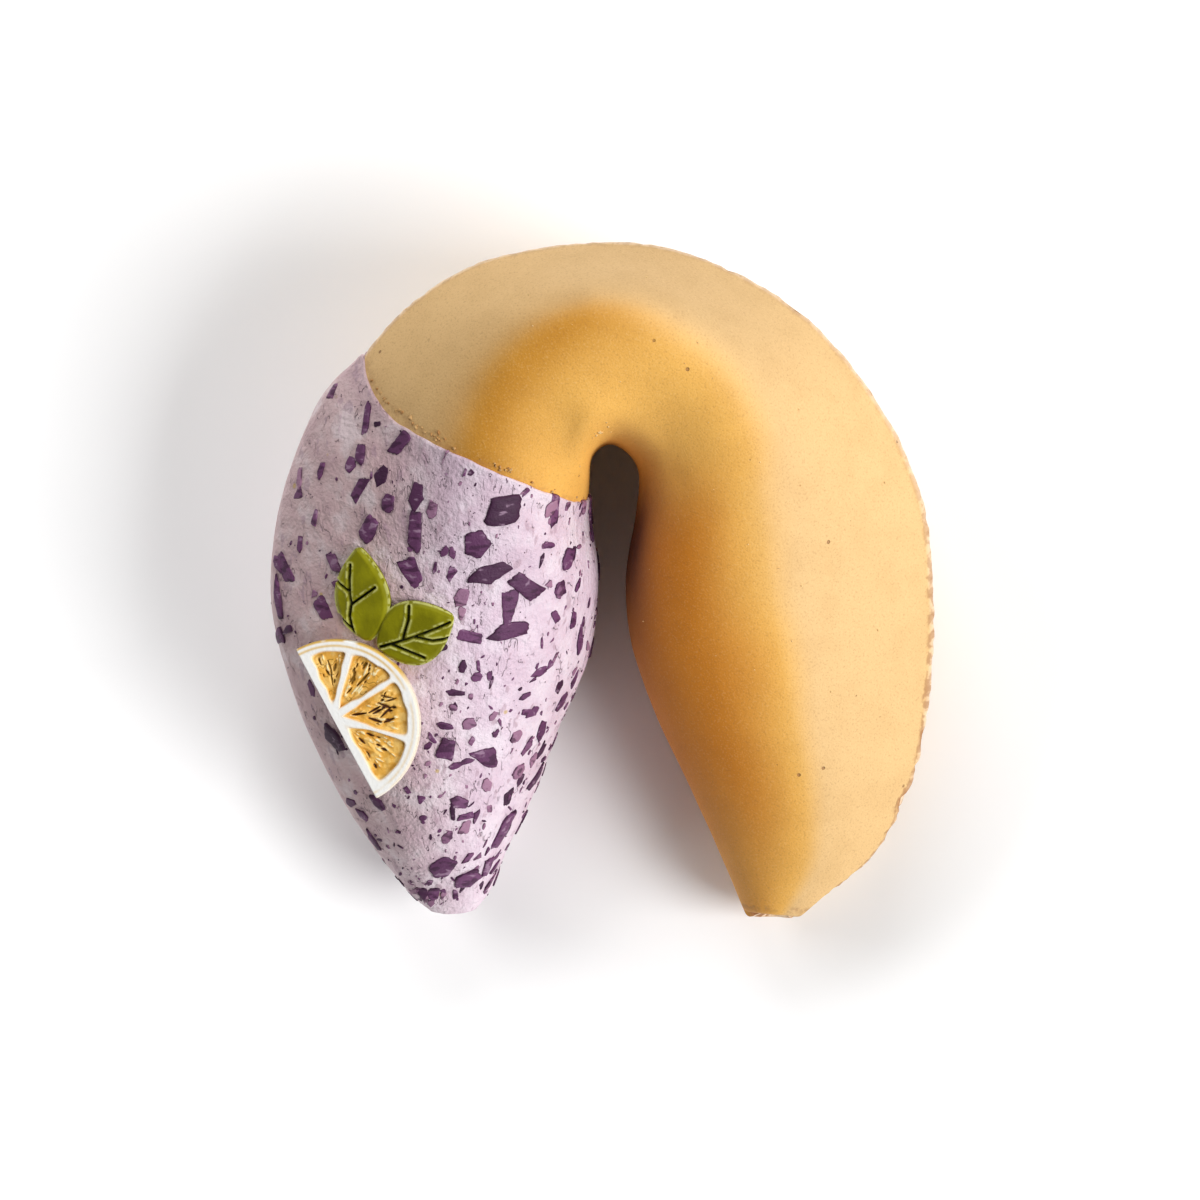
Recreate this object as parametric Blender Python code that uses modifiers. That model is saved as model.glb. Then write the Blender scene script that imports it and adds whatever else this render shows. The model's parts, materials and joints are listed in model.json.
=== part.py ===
"""Dipped fortune cookie: a folded wafer, its icing dip, half a lemon slice and two leaves.

The cookie lies on its back: +Z points up from the table, the notch pressed into
the fold opens toward -Y, and the iced horn is the one at -X.

The wafer is a round disc folded in half and then bent over its fold, so that the
fold runs up one horn, round the notch and down the other horn. Two co-ordinates
describe it. A station runs along the fold, from 0 at the tip of the bare horn to
the last station at the tip of the iced horn. A turn runs round each section, from
-1 at the back rim over 0 at the fold to +1 at the front rim.
"""

import math

import bmesh
import bpy
import numpy as np
from mathutils import Matrix, Vector
from mathutils.bvhtree import BVHTree

MM = 0.001                     # every size below is in millimetres

# --- Wafer ------------------------------------------------------------------
# Plan of the outer skin at each station: the fold's x, y and then the rim's x, y.
STATIONS = np.array([
    (11.3, -26.3, 15.7, -26.7),
    (9.3, -21.8, 21.7, -21.7),
    (6.8, -16.2, 24.9, -15.6),
    (4.1, -10.4, 26.1, -8.6),
    (2.2, -4.8, 26.3, -1.2),
    (1.8, 0.6, 25.3, 6.4),
    (2.6, 5.4, 21.7, 14.0),
    (2.7, 8.9, 14.8, 21.4),
    (0.8, 10.7, 4.6, 25.9),
    (-0.8, 9.8, -6.5, 25.5),
    (-1.1, 7.2, -14.0, 22.2),
    (-1.3, 3.4, -19.8, 15.5),
    (-1.3, -1.2, -23.5, 7.4),
    (-2.1, -6.0, -24.7, -1.0),
    (-4.3, -11.3, -23.1, -8.4),
    (-6.3, -16.4, -20.1, -15.4),
    (-8.4, -20.8, -16.9, -20.6),
    (-9.6, -23.6, -14.4, -23.8),
])
LAST = len(STATIONS) - 1
NOTCH = LAST / 2               # the station in the middle of the fold

WALL = 2.1                     # thickness of the baked sheet
CREST_MIDDLE = 15.0            # crest of a lip over the mid-plane, at the notch
CREST_TIP = 3.0                # the same at the tip of a horn
CREST_FALL = 1.7               # how late the crest drops along a horn
CREST_ROUND = 0.9              # how round it drops at the tip
WAIST = 0.11                   # share by which each horn narrows between its ends
WAIST_AT = 0.42                # where, from notch (0) to tip (1)
WAIST_SPREAD = 0.22
MOUTH_MIDDLE = 4.6             # opening between the rims at the notch
MOUTH_TIP = 0.9                # and at the tips

CREST_SHARE = 0.56             # crest's distance from the fold, as a share of a lip's width
CREST_PULL = 0.12              # how much nearer the fold it lies on a horn
CREST_PUSH = 0.14              # how much farther out it moves again at a tip
RIDGE_RADIUS = 3.2             # rounding of the ridge between crest and flank
DOME_RADIUS = 7.0              # the same on the iced horn, which is rounder
FLANK_DROP = 0.55              # share of the height from crest to rim with a straight slope
FLANK_NOTCH = 62               # degrees of that slope behind the notch
FLANK_HORN = 36                # degrees on a horn
FLANK_ICED = 30                # degrees more on the iced horn, up to its tip

# The lip from fold to crest is two Bezier arcs that meet at a shoulder. Their points
# are shares of the crest's distance and height: on a horn they form a quarter ellipse,
# and in the pressed crease a wall with a flat shoulder above it.
ROLL_ARCS = np.array([(0, 0), (0, 0.265), (0.105, 0.520), (0.293, 0.707),
                      (0.480, 0.895), (0.735, 1), (1, 1)])
CREASE_ARCS = np.array([(0, 0), (0, 0.53), (0.04, 0.870), (0.29, 0.915),
                        (0.52, 0.955), (0.75, 1), (1, 1)])
CREASE_AT = 8.7                # station in the middle of the crease
CREASE_SPREAD = 1.3

MID_HEIGHT = 11.2              # mid-plane over the table at the origin
MID_PITCH = 0.195              # its rise toward the notch side, per millimetre
MID_ROLL = 0.032               # its rise toward the iced horn, per millimetre
TABLE_CUT = 0.15               # depth of the flats worn where the cookie rests
COAT_START = 9.5               # station where the underside begins to lift for the coat
COAT_REACH = 0.8               # stations over which it lifts

ROWS = 46                      # loft sections along the fold
LIP_STEPS = 12                 # loft steps from fold to rim, on each lip
RIM_ROUND = 0.45               # rounding of the cut edge
WAFER_COLOUR = (0.72, 0.47, 0.21)

# --- Icing ------------------------------------------------------------------
ICING = 0.8                    # thickness of the coat
ICING_GAP = 0.2                # clearance between the coat and the wafer
ICING_ROWS = 18
SEAM_STEPS = 5                 # loft steps across the closed mouth
SEAM_BULGE = 0.5               # how far the coat stands out over the mouth
CAP_DEPTH = 1.0                # how far the coat closes past the tip
# Size and depth of the rings that close it, as shares of the tip's ring and of that depth.
CAP_RINGS = ((1.0, 0.0), (0.93, 0.35), (0.78, 0.66), (0.5, 0.91))
DIP_AT_FOLD = 10.1             # station where the coat ends, at the fold
DIP_SAG = 1.0                  # how far it sags toward the tip on the lips
DIP_RISE = 0.4                 # how far it climbs back at the rim
ICING_ROUND = 0.25
ICING_COLOUR = (0.66, 0.55, 0.63)

# --- Lemon slice -----------------------------------------------------------
SLICE_RADIUS = 6.5
SLICE_THICK = 1.0
SLICE_AT = (-20.5, -11.0)      # middle of the straight side, in plan
SLICE_TURN = 28.4              # degrees from +X to the middle of the round side
SLICE_TILT = 10.0              # degrees, down toward the straight side
SLICE_SIDES = 56               # sides of the whole round slice
SLICE_SEGMENTS = 4
RIND = 0.55                    # rind and pith outside the segments
MEMBRANE = 0.45
PULP_DEPTH = 0.15
PULP_STEPS = 8                 # points along a segment's round side
SLICE_GAP = 0.15
SLICE_COLOUR = (0.88, 0.75, 0.42)

# --- Leaves ------------------------------------------------------------------
LEAF_THICK = 0.55
LEAF_GAP = 0.15
LEAF_STALK = 0.12              # half width where the leaf starts and ends
LEAF_FULL = 0.9                # under 1, the leaf is widest past its middle and fuller
LEAF_ROUND = 0.18
LEAF_GRID = (10, 7)            # points along and across
LEAF_COLOUR = (0.16, 0.2, 0.03)
# name, base x, base y, tip x, tip y, width
LEAVES = [
    ("leaf_upright", -18.4, -4.4, -18.6, 2.6, 4.2),
    ("leaf_side", -16.9, -5.0, -11.5, -2.6, 5.0),
]


def blend(start, end, share):
    """Go from start to end as the share goes from 0 to 1."""
    return start + (end - start) * share


def spline(rows, where):
    """Read a smooth curve through evenly numbered rows at the places in where."""
    where = np.clip(where, 0.0, len(rows) - 1.0)
    first = np.minimum(where.astype(int), len(rows) - 2)
    step = (where - first)[..., None]
    padded = np.vstack([2 * rows[0] - rows[1], rows, 2 * rows[-1] - rows[-2]])
    before, here, after, later = (padded[first + shift] for shift in range(4))
    return 0.5 * (2 * here + (after - before) * step
                  + (2 * before - 5 * here + 4 * after - later) * step ** 2
                  + (3 * here - before - 3 * after + later) * step ** 3)


def bezier(points, step):
    """Read a cubic Bezier arc whose four points may vary from section to section."""
    weights = ((1 - step) ** 3, 3 * step * (1 - step) ** 2, 3 * step ** 2 * (1 - step), step ** 3)
    return sum(weight * point for weight, point in zip(weights, points))


def mid_plane(x, y):
    """Height of the plane between the two lips: the cookie lies slightly tilted."""
    return MID_HEIGHT + MID_PITCH * y - MID_ROLL * x


def wafer_skin(station, turn):
    """Points on the wafer's outer skin, in millimetres, for arrays of station and turn."""
    plan = spline(STATIONS, station)
    fold, rim = plan[..., :2], plan[..., 2:]
    width = np.linalg.norm(rim - fold, axis=-1)
    out = np.clip(np.abs(station - NOTCH) / NOTCH, 0.0, 1.0)
    iced = np.clip((station - NOTCH) / NOTCH, 0.0, 1.0)

    waist = 1 - WAIST * np.exp(-((out - WAIST_AT) / WAIST_SPREAD) ** 2)
    crest = CREST_TIP + (CREST_MIDDLE - CREST_TIP) * (1 - out ** CREST_FALL) ** CREST_ROUND * waist
    rim_height = blend(MOUTH_MIDDLE, MOUTH_TIP, out) / 2 + WALL
    crest_at = width * (CREST_SHARE - CREST_PULL * np.clip(out * 3, 0, 1) + CREST_PUSH * out ** 4)
    slope = blend(FLANK_NOTCH, FLANK_HORN, np.clip(out * 2, 0, 1)) + FLANK_ICED * iced * (1 - out ** 8)
    rise = (crest - rim_height) * FLANK_DROP
    run = rise / np.tan(np.radians(slope))
    # An arc whose handle is h long and whose next point lies d lower starts with radius 1.5 h * h / d.
    handle = np.sqrt(blend(RIDGE_RADIUS, DOME_RADIUS, iced) * (crest - rim_height - rise) / 1.5)

    # Fold to shoulder, shoulder to crest and crest to rim, each as one Bezier arc.
    pressed = np.exp(-((station - CREASE_AT) / CREASE_SPREAD) ** 2)[..., None, None]
    points = blend(ROLL_ARCS, CREASE_ARCS, pressed) * np.stack([crest_at, crest], axis=-1)[..., None, :]
    lip = np.abs(turn)
    first = bezier([points[..., number, :] for number in range(4)], np.clip(lip * 4, 0, 1)[..., None])
    second = bezier([points[..., number, :] for number in range(3, 7)],
                    np.clip(lip * 4 - 1, 0, 1)[..., None])
    share = np.maximum(lip * 2 - 1, 0.0)
    across_out = bezier((crest_at, crest_at + handle, width - run, width), share)
    height_out = bezier((crest, crest, rim_height + rise, rim_height), share)
    third = np.stack([across_out, height_out], axis=-1)
    level = lip[..., None]
    section = np.where(level <= 0.25, first, np.where(level <= 0.5, second, third))
    across = section[..., 0]
    height = section[..., 1] * np.sign(turn)

    place = fold + (rim - fold) * (across / width)[..., None]
    x, y = place[..., 0], place[..., 1]
    lifted = np.clip((station - COAT_START) / COAT_REACH, 0, 1)
    floor = blend(TABLE_CUT, TABLE_CUT + ICING + ICING_GAP, lifted)
    z = np.maximum(mid_plane(x, y) + height, floor) - TABLE_CUT
    return np.stack([x, y, z], axis=-1)


def skin_normal(station, turn):
    """Unit vectors that point out of the wafer's outer skin."""
    tiny = 1e-3
    along = wafer_skin(station + tiny, turn) - wafer_skin(station - tiny, turn)
    around = wafer_skin(station, turn + tiny) - wafer_skin(station, turn - tiny)
    normal = np.cross(around, along)
    return normal / np.linalg.norm(normal, axis=-1)[..., None]


def dip_station(turn):
    """Station where the coat ends: it sags toward the tip on both lips."""
    lip = np.abs(turn)
    return DIP_AT_FOLD + DIP_SAG * (1 - (1 - lip) ** 3) - DIP_RISE * lip ** 9


def grid_faces(rows, columns, closed=False):
    """Quads of a grid of points, row after row; a closed grid joins its last column to its first."""
    steps = columns if closed else columns - 1
    return [(row * columns + step, row * columns + (step + 1) % columns,
             (row + 1) * columns + (step + 1) % columns, (row + 1) * columns + step)
            for row in range(rows - 1) for step in range(steps)]


def add_object(name, points, faces, collection, material):
    """Make a smooth-shaded object from points in millimetres."""
    mesh = bpy.data.meshes.new(name)
    mesh.from_pydata((points.reshape(-1, 3) * MM).tolist(), [], faces)
    mesh.shade_smooth()
    mesh.materials.append(material)
    item = bpy.data.objects.new(name, mesh)
    collection.objects.link(item)
    return item


def add_material(name, colour, roughness):
    """Principled material with one colour, given as linear red, green and blue."""
    material = bpy.data.materials.new(name)
    material.use_nodes = True
    shader = material.node_tree.nodes["Principled BSDF"]
    shader.inputs["Base Color"].default_value = (*colour, 1.0)
    shader.inputs["Roughness"].default_value = roughness
    shader.inputs["Metallic"].default_value = 0.0
    return material


def thicken(item, thickness, offset):
    """Turn an open surface into a closed sheet."""
    shell = item.modifiers.new("thickness", "SOLIDIFY")
    shell.thickness = thickness * MM
    shell.offset = offset
    shell.use_even_offset = True
    shell.use_quality_normals = True


def round_edges(item, width, angle=50.0):
    """Round the sharp edges of a sheet."""
    bevel = item.modifiers.new("rounding", "BEVEL")
    bevel.width = width * MM
    bevel.segments = 2
    bevel.limit_method = "ANGLE"
    bevel.angle_limit = math.radians(angle)


def build_wafer(collection):
    """The folded sheet, open along its rims and at both tips."""
    material = add_material("baked_wafer", WAFER_COLOUR, 0.75)
    station, turn = np.meshgrid(np.linspace(0, LAST, ROWS), np.linspace(-1, 1, 2 * LIP_STEPS + 1),
                                indexing="ij")
    wafer = add_object("cookie_wafer", wafer_skin(station, turn),
                       grid_faces(*station.shape), collection, material)
    thicken(wafer, WALL, -1)
    round_edges(wafer, RIM_ROUND)
    return wafer


def close_seam(front, back, outward):
    """Points that carry the coat over the mouth, from the front rim to the back rim."""
    share = np.linspace(0, 1, SEAM_STEPS + 1)[1:-1]
    bulge = SEAM_BULGE * np.clip(np.linspace(0, 4, ICING_ROWS), 0, 1)[:, None]
    middle = (front + back) / 2 + 2 * bulge * outward
    return [(1 - step) ** 2 * front + 2 * step * (1 - step) * middle + step ** 2 * back
            for step in share]


def build_icing(collection):
    """The coat round the iced horn, closed over the mouth and past the tip."""
    material = add_material("lavender_icing", ICING_COLOUR, 0.6)
    share, turn = np.meshgrid(np.linspace(0, 1, ICING_ROWS), np.linspace(-1, 1, 2 * LIP_STEPS + 1),
                              indexing="ij")
    station = blend(dip_station(turn), LAST, share)
    points = wafer_skin(station, turn) + ICING_GAP * skin_normal(station, turn)
    plan = spline(STATIONS, station[:, -1])
    outward = np.zeros((ICING_ROWS, 3))
    outward[:, :2] = plan[:, 2:] - plan[:, :2]
    outward /= np.linalg.norm(outward, axis=1)[:, None]
    seam = np.stack(close_seam(points[:, -1], points[:, 0], outward), axis=1)
    rings = np.concatenate([points, seam], axis=1)

    # Shrinking rings and a middle point close the coat past the tip.
    ahead = (rings[-1] - rings[-2]).mean(axis=0)
    ahead[2] = 0
    ahead /= np.linalg.norm(ahead)
    end = rings[-1]
    centre = end.mean(axis=0)
    cap = [centre + (end - centre) * size + ahead * (ICING_GAP + CAP_DEPTH * depth)
           for size, depth in CAP_RINGS]
    rings = np.concatenate([rings, np.stack(cap)])
    count, columns = rings.shape[:2]
    pole = count * columns
    last = (count - 1) * columns
    faces = grid_faces(count, columns, closed=True)
    faces += [(last + step, last + (step + 1) % columns, pole) for step in range(columns)]
    points = np.vstack([rings.reshape(-1, 3), centre + ahead * (ICING_GAP + CAP_DEPTH)])
    icing = add_object("icing_dip", points, faces, collection, material)
    thicken(icing, ICING, 1)
    round_edges(icing, ICING_ROUND)
    return icing


def drape(tree, x, y):
    """Height of the coat's top, in millimetres, below a point in plan, or 0 beside the coat."""
    hit = tree.ray_cast(Vector((x * MM, y * MM, 0.1)), Vector((0, 0, -1)))[0]
    return hit.z / MM if hit else 0.0


def add_prism(name, outline, low, high, collection):
    """A prism over a flat outline; it cuts, so it stays hidden."""
    mesh = bpy.data.meshes.new(name)
    shape = bmesh.new()
    corners = [shape.verts.new((x * MM, y * MM, low * MM)) for x, y in outline]
    face = shape.faces.new(corners)
    grown = bmesh.ops.extrude_face_region(shape, geom=[face])["geom"]
    moved = [item for item in grown if isinstance(item, bmesh.types.BMVert)]
    bmesh.ops.translate(shape, verts=moved, vec=(0, 0, (high - low) * MM))
    bmesh.ops.recalc_face_normals(shape, faces=shape.faces)
    shape.to_mesh(mesh)
    shape.free()
    item = bpy.data.objects.new(name, mesh)
    collection.objects.link(item)
    item.hide_render = True
    item.display_type = "WIRE"
    return item


def segment_outline(start, end):
    """Outline of one pulp pocket between two membranes, by angle in radians."""
    outer = SLICE_RADIUS - RIND
    half = MEMBRANE / 2
    inner = half / math.sin((end - start) / 2)
    middle = (start + end) / 2
    swing = math.asin(half / outer)
    points = [(inner * math.cos(middle), inner * math.sin(middle))]
    for angle in np.linspace(start + swing, end - swing, PULP_STEPS):
        points.append((outer * math.cos(angle), outer * math.sin(angle)))
    return points


def build_slice(collection, cutters, tree):
    """Half a lemon slice with sunk pulp, tilted to lie on the coat."""
    material = add_material("lemon_pith", SLICE_COLOUR, 0.55)
    mesh = bpy.data.meshes.new("lemon_slice")
    shape = bmesh.new()
    bmesh.ops.create_cone(shape, cap_ends=True, segments=SLICE_SIDES, depth=SLICE_THICK * MM,
                          radius1=SLICE_RADIUS * MM, radius2=SLICE_RADIUS * MM)
    cut = bmesh.ops.bisect_plane(shape, geom=shape.verts[:] + shape.edges[:] + shape.faces[:],
                                 plane_co=(0, 0, 0), plane_no=(-1, 0, 0), clear_outer=True)
    edges = [item for item in cut["geom_cut"] if isinstance(item, bmesh.types.BMEdge)]
    bmesh.ops.contextual_create(shape, geom=edges)
    bmesh.ops.recalc_face_normals(shape, faces=shape.faces)
    shape.to_mesh(mesh)
    shape.free()
    mesh.materials.append(material)
    piece = bpy.data.objects.new("lemon_slice", mesh)
    collection.objects.link(piece)

    turn = Matrix.Rotation(math.radians(SLICE_TURN), 4, "Z")
    tilt = Matrix.Rotation(math.radians(-SLICE_TILT), 4, "Y")
    pose = turn @ tilt
    # The lowest height at which the underside clears the coat everywhere.
    lift = -math.inf
    for radius in np.linspace(0, SLICE_RADIUS, 9):
        for angle in np.radians(np.linspace(-90, 90, 17)):
            under = pose @ Vector((radius * math.cos(angle), radius * math.sin(angle), -SLICE_THICK / 2))
            height = drape(tree, SLICE_AT[0] + under.x, SLICE_AT[1] + under.y)
            lift = max(lift, height - under.z)
    place = Matrix.Translation(Vector((*SLICE_AT, lift + SLICE_GAP)) * MM) @ pose
    piece.matrix_world = place

    edges = np.radians(np.linspace(-90, 90, SLICE_SEGMENTS + 1))
    for number, (start, end) in enumerate(zip(edges, edges[1:])):
        outline = segment_outline(start, end)
        top = SLICE_THICK / 2
        cutter = add_prism(f"pulp_pocket_{number}", outline, top - PULP_DEPTH, top + 1, cutters)
        cutter.matrix_world = place
        pocket = piece.modifiers.new(f"pocket_{number}", "BOOLEAN")
        pocket.operation = "DIFFERENCE"
        pocket.object = cutter
    return piece


def build_leaf(name, base, tip, width, collection, material, tree):
    """A pointed leaf draped over the coat."""
    base, tip = np.array(base), np.array(tip)
    ahead = tip - base
    aside = np.array((ahead[1], -ahead[0])) / np.linalg.norm(ahead)
    along, across = np.meshgrid(np.linspace(0, 1, LEAF_GRID[0]), np.linspace(-1, 1, LEAF_GRID[1]),
                                indexing="ij")
    half = LEAF_STALK + (width / 2 - LEAF_STALK) * np.sin(np.pi * along ** LEAF_FULL) ** LEAF_FULL
    plan = base + along[..., None] * ahead + (across * half)[..., None] * aside
    heights = [[drape(tree, x, y) + LEAF_GAP for x, y in row] for row in plan]
    points = np.concatenate([plan, np.array(heights)[..., None]], axis=-1)
    leaf = add_object(name, points, grid_faces(*along.shape), collection, material)
    thicken(leaf, LEAF_THICK, 1)
    round_edges(leaf, LEAF_ROUND)
    return leaf


def main():
    """Clear the scene and build every piece."""
    for item in list(bpy.data.objects):
        bpy.data.objects.remove(item, do_unlink=True)
    parts = bpy.data.collections.new("dipped_fortune_cookie")
    cutters = bpy.data.collections.new("cutters")
    bpy.context.scene.collection.children.link(parts)
    bpy.context.scene.collection.children.link(cutters)

    build_wafer(parts)
    icing = build_icing(parts)
    coat = bmesh.new()
    coat.from_object(icing, bpy.context.evaluated_depsgraph_get())
    tree = BVHTree.FromBMesh(coat)
    build_slice(parts, cutters, tree)
    green = add_material("leaf_green", LEAF_COLOUR, 0.5)
    for name, base_x, base_y, tip_x, tip_y, width in LEAVES:
        build_leaf(name, (base_x, base_y), (tip_x, tip_y), width, parts, green, tree)
    coat.free()


main()
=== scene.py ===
"""Looks of a dipped fortune cookie: folded wafer, lavender icing, lemon slice and two leaves.

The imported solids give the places. The wafer's skin is worked out again at a fine pitch
from the form that the solids follow, and the icing, its flakes, the slice, the leaves and
the crumbs lie on that skin. Lengths are millimetres until a mesh is made.
"""

from __future__ import annotations

import json
import logging
import math
from dataclasses import dataclass, field
from enum import Enum

import bpy
import numpy as np
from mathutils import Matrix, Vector

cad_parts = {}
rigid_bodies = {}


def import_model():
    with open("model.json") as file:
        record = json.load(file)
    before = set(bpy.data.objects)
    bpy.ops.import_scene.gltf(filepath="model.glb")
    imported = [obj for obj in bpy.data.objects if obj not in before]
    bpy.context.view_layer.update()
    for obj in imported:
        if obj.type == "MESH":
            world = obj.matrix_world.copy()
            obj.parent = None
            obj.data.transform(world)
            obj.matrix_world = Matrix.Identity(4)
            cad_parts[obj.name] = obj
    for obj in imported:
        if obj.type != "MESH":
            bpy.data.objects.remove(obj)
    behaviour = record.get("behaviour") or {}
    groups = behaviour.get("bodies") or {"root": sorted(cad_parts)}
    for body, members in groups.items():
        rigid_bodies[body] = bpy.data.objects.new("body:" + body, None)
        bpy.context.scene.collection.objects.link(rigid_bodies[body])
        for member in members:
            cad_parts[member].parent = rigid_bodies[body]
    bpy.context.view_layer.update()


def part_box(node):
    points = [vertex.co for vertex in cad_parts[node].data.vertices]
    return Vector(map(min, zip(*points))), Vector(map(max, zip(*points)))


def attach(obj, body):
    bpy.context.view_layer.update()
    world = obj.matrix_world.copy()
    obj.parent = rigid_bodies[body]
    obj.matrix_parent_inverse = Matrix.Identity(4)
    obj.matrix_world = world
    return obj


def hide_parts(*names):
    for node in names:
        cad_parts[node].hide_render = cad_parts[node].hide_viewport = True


Array = np.ndarray
Colour = tuple[float, float, float]

MM = 0.001                     # metres in a millimetre
BODY = "root"                  # the one body that every piece rides on

log = logging.getLogger("fortune_cookie")


class Slot(Enum):
    """Material slots of the record."""

    WAFER = "wafer"
    ICING = "icing"
    LEMON = "lemon"
    LEAF = "leaf"


# --- Arithmetic on whole arrays ------------------------------------------------

def mix(start: Array | float, end: Array | float, share: Array | float) -> Array | float:
    """Go from start to end as the share goes from 0 to 1: start + (end - start) * share."""
    return start + (end - start) * share


def ease(value: Array, low: float, high: float) -> Array:
    """Rise smoothly from 0 to 1.

    With t the value's share of the way from low to high, kept in 0 to 1, it is t * t * (3 - 2 t).

    Args:
        value: Where to read the rise.
        low: Value at which it is still 0.
        high: Value from which it is 1; below low, the rise runs the other way.

    Returns:
        Shares from 0 to 1.
    """
    share = np.clip((value - low) / (high - low), 0.0, 1.0)
    return share * share * (3 - 2 * share)


def bump(value: Array, middle: float, spread: float | Array) -> Array:
    """Bell curve of height 1: exp of minus the squared distance from the middle, in spreads."""
    return np.exp(-((value - middle) / spread) ** 2)


def spline(rows: Array, where: Array) -> Array:
    """Read a smooth curve through evenly numbered rows.

    It is a uniform Catmull-Rom curve: on each span a cubic whose slope at a row is half the
    step from the row before it to the row after it.

    Args:
        rows: Points, one a row.
        where: Places to read, from 0 to the last row's number.

    Returns:
        One point for each place.
    """
    where = np.clip(where, 0.0, len(rows) - 1.0)
    first = np.minimum(where.astype(int), len(rows) - 2)
    step = (where - first)[..., None]
    padded = np.vstack([2 * rows[0] - rows[1], rows, 2 * rows[-1] - rows[-2]])
    before, here, after, later = (padded[first + shift] for shift in range(4))
    return 0.5 * (2 * here + (after - before) * step
                  + (2 * before - 5 * here + 4 * after - later) * step ** 2
                  + (3 * here - before - 3 * after + later) * step ** 3)


def bezier(points: tuple | list, step: Array) -> Array:
    """Read a cubic Bezier arc: its four points weighted by the Bernstein polynomials of the step."""
    weights = ((1 - step) ** 3, 3 * step * (1 - step) ** 2, 3 * step ** 2 * (1 - step), step ** 3)
    return sum(weight * point for weight, point in zip(weights, points))


def unit(vectors: Array) -> Array:
    """Scale vectors to a length of 1."""
    return vectors / np.maximum(np.linalg.norm(vectors, axis=-1), 1e-12)[..., None]


def cloud(points: Array, cell: float, seed: int) -> Array:
    """Soft noise from -1 to 1.

    Random values stand at the corners of a cubic lattice, and between them they are eased
    along each axis and multiplied, so the noise has no creases.

    Args:
        points: Places in millimetres.
        cell: Pitch of the lattice in millimetres.
        seed: Number that fixes the random values.

    Returns:
        One value for each place.
    """
    side = 32
    table = np.random.default_rng(seed).uniform(-1, 1, (side, side, side))
    place = points / cell
    base = np.floor(place).astype(int)
    share = place - base
    share = share * share * (3 - 2 * share)
    total = np.zeros(points.shape[:-1])
    for corner in np.ndindex(2, 2, 2):
        weight = np.prod(np.where(corner, share, 1 - share), axis=-1)
        x, y, z = np.moveaxis((base + corner) % side, -1, 0)
        total += weight * table[x, y, z]
    return total


# --- Meshes --------------------------------------------------------------------

def grid_quads(rows: int, columns: int, closed: bool = False) -> Array:
    """Quads between neighbours of a grid of points, numbered row after row.

    Args:
        rows: Number of rows.
        columns: Number of columns.
        closed: Whether the last column joins the first.

    Returns:
        Four point numbers for each quad.
    """
    index = np.arange(rows * columns).reshape(rows, columns)
    if closed:
        index = np.hstack([index, index[:, :1]])
    corners = [index[:-1, :-1], index[:-1, 1:], index[1:, 1:], index[1:, :-1]]
    return np.stack(corners, axis=-1).reshape(-1, 4)


def fan(ring: Array, pole: int | Array) -> Array:
    """Triangles from each step of a closed ring of point numbers to its pole.

    Args:
        ring: Point numbers along the last axis.
        pole: Number of the pole, or one for each ring.

    Returns:
        Three point numbers for each triangle.
    """
    after = np.roll(ring, -1, axis=-1)
    middle = np.broadcast_to(np.asarray(pole)[..., None], ring.shape)
    return np.stack([ring, after, middle], axis=-1).reshape(-1, 3)


def ring_stacks(count: int, rings: int, steps: int) -> tuple[Array, Array]:
    """Faces of many like solids, each a stack of closed rings with a pole at either end.

    The points of all the rings come first, then every solid's first pole, then every last one.

    Args:
        count: Number of solids.
        rings: Rings in each.
        steps: Points in a ring.

    Returns:
        Quads between the rings, and triangles from the end rings to the poles.
    """
    each = rings * steps
    start = np.arange(count)[:, None] * each
    quads = (grid_quads(rings, steps, closed=True)[None] + start[..., None]).reshape(-1, 4)
    upper = np.arange(steps)[None] + start
    lower = upper + (rings - 1) * steps
    poles = count * each + np.arange(count)
    return quads, np.concatenate([fan(upper, poles)[:, ::-1], fan(lower, poles + count)])


def volume(points: Array, quads: Array, triangles: Array) -> float:
    """Volume inside a closed surface: the sum over its triangles of a . (b x c) / 6."""
    split = np.concatenate([quads[:, [0, 1, 2]], quads[:, [0, 2, 3]], triangles])
    a, b, c = (points[split[:, corner]] for corner in range(3))
    return float(np.einsum("ij,ij->i", a, np.cross(b, c)).sum() / 6)


NO_TRIANGLES = np.zeros((0, 3), int)


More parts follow.
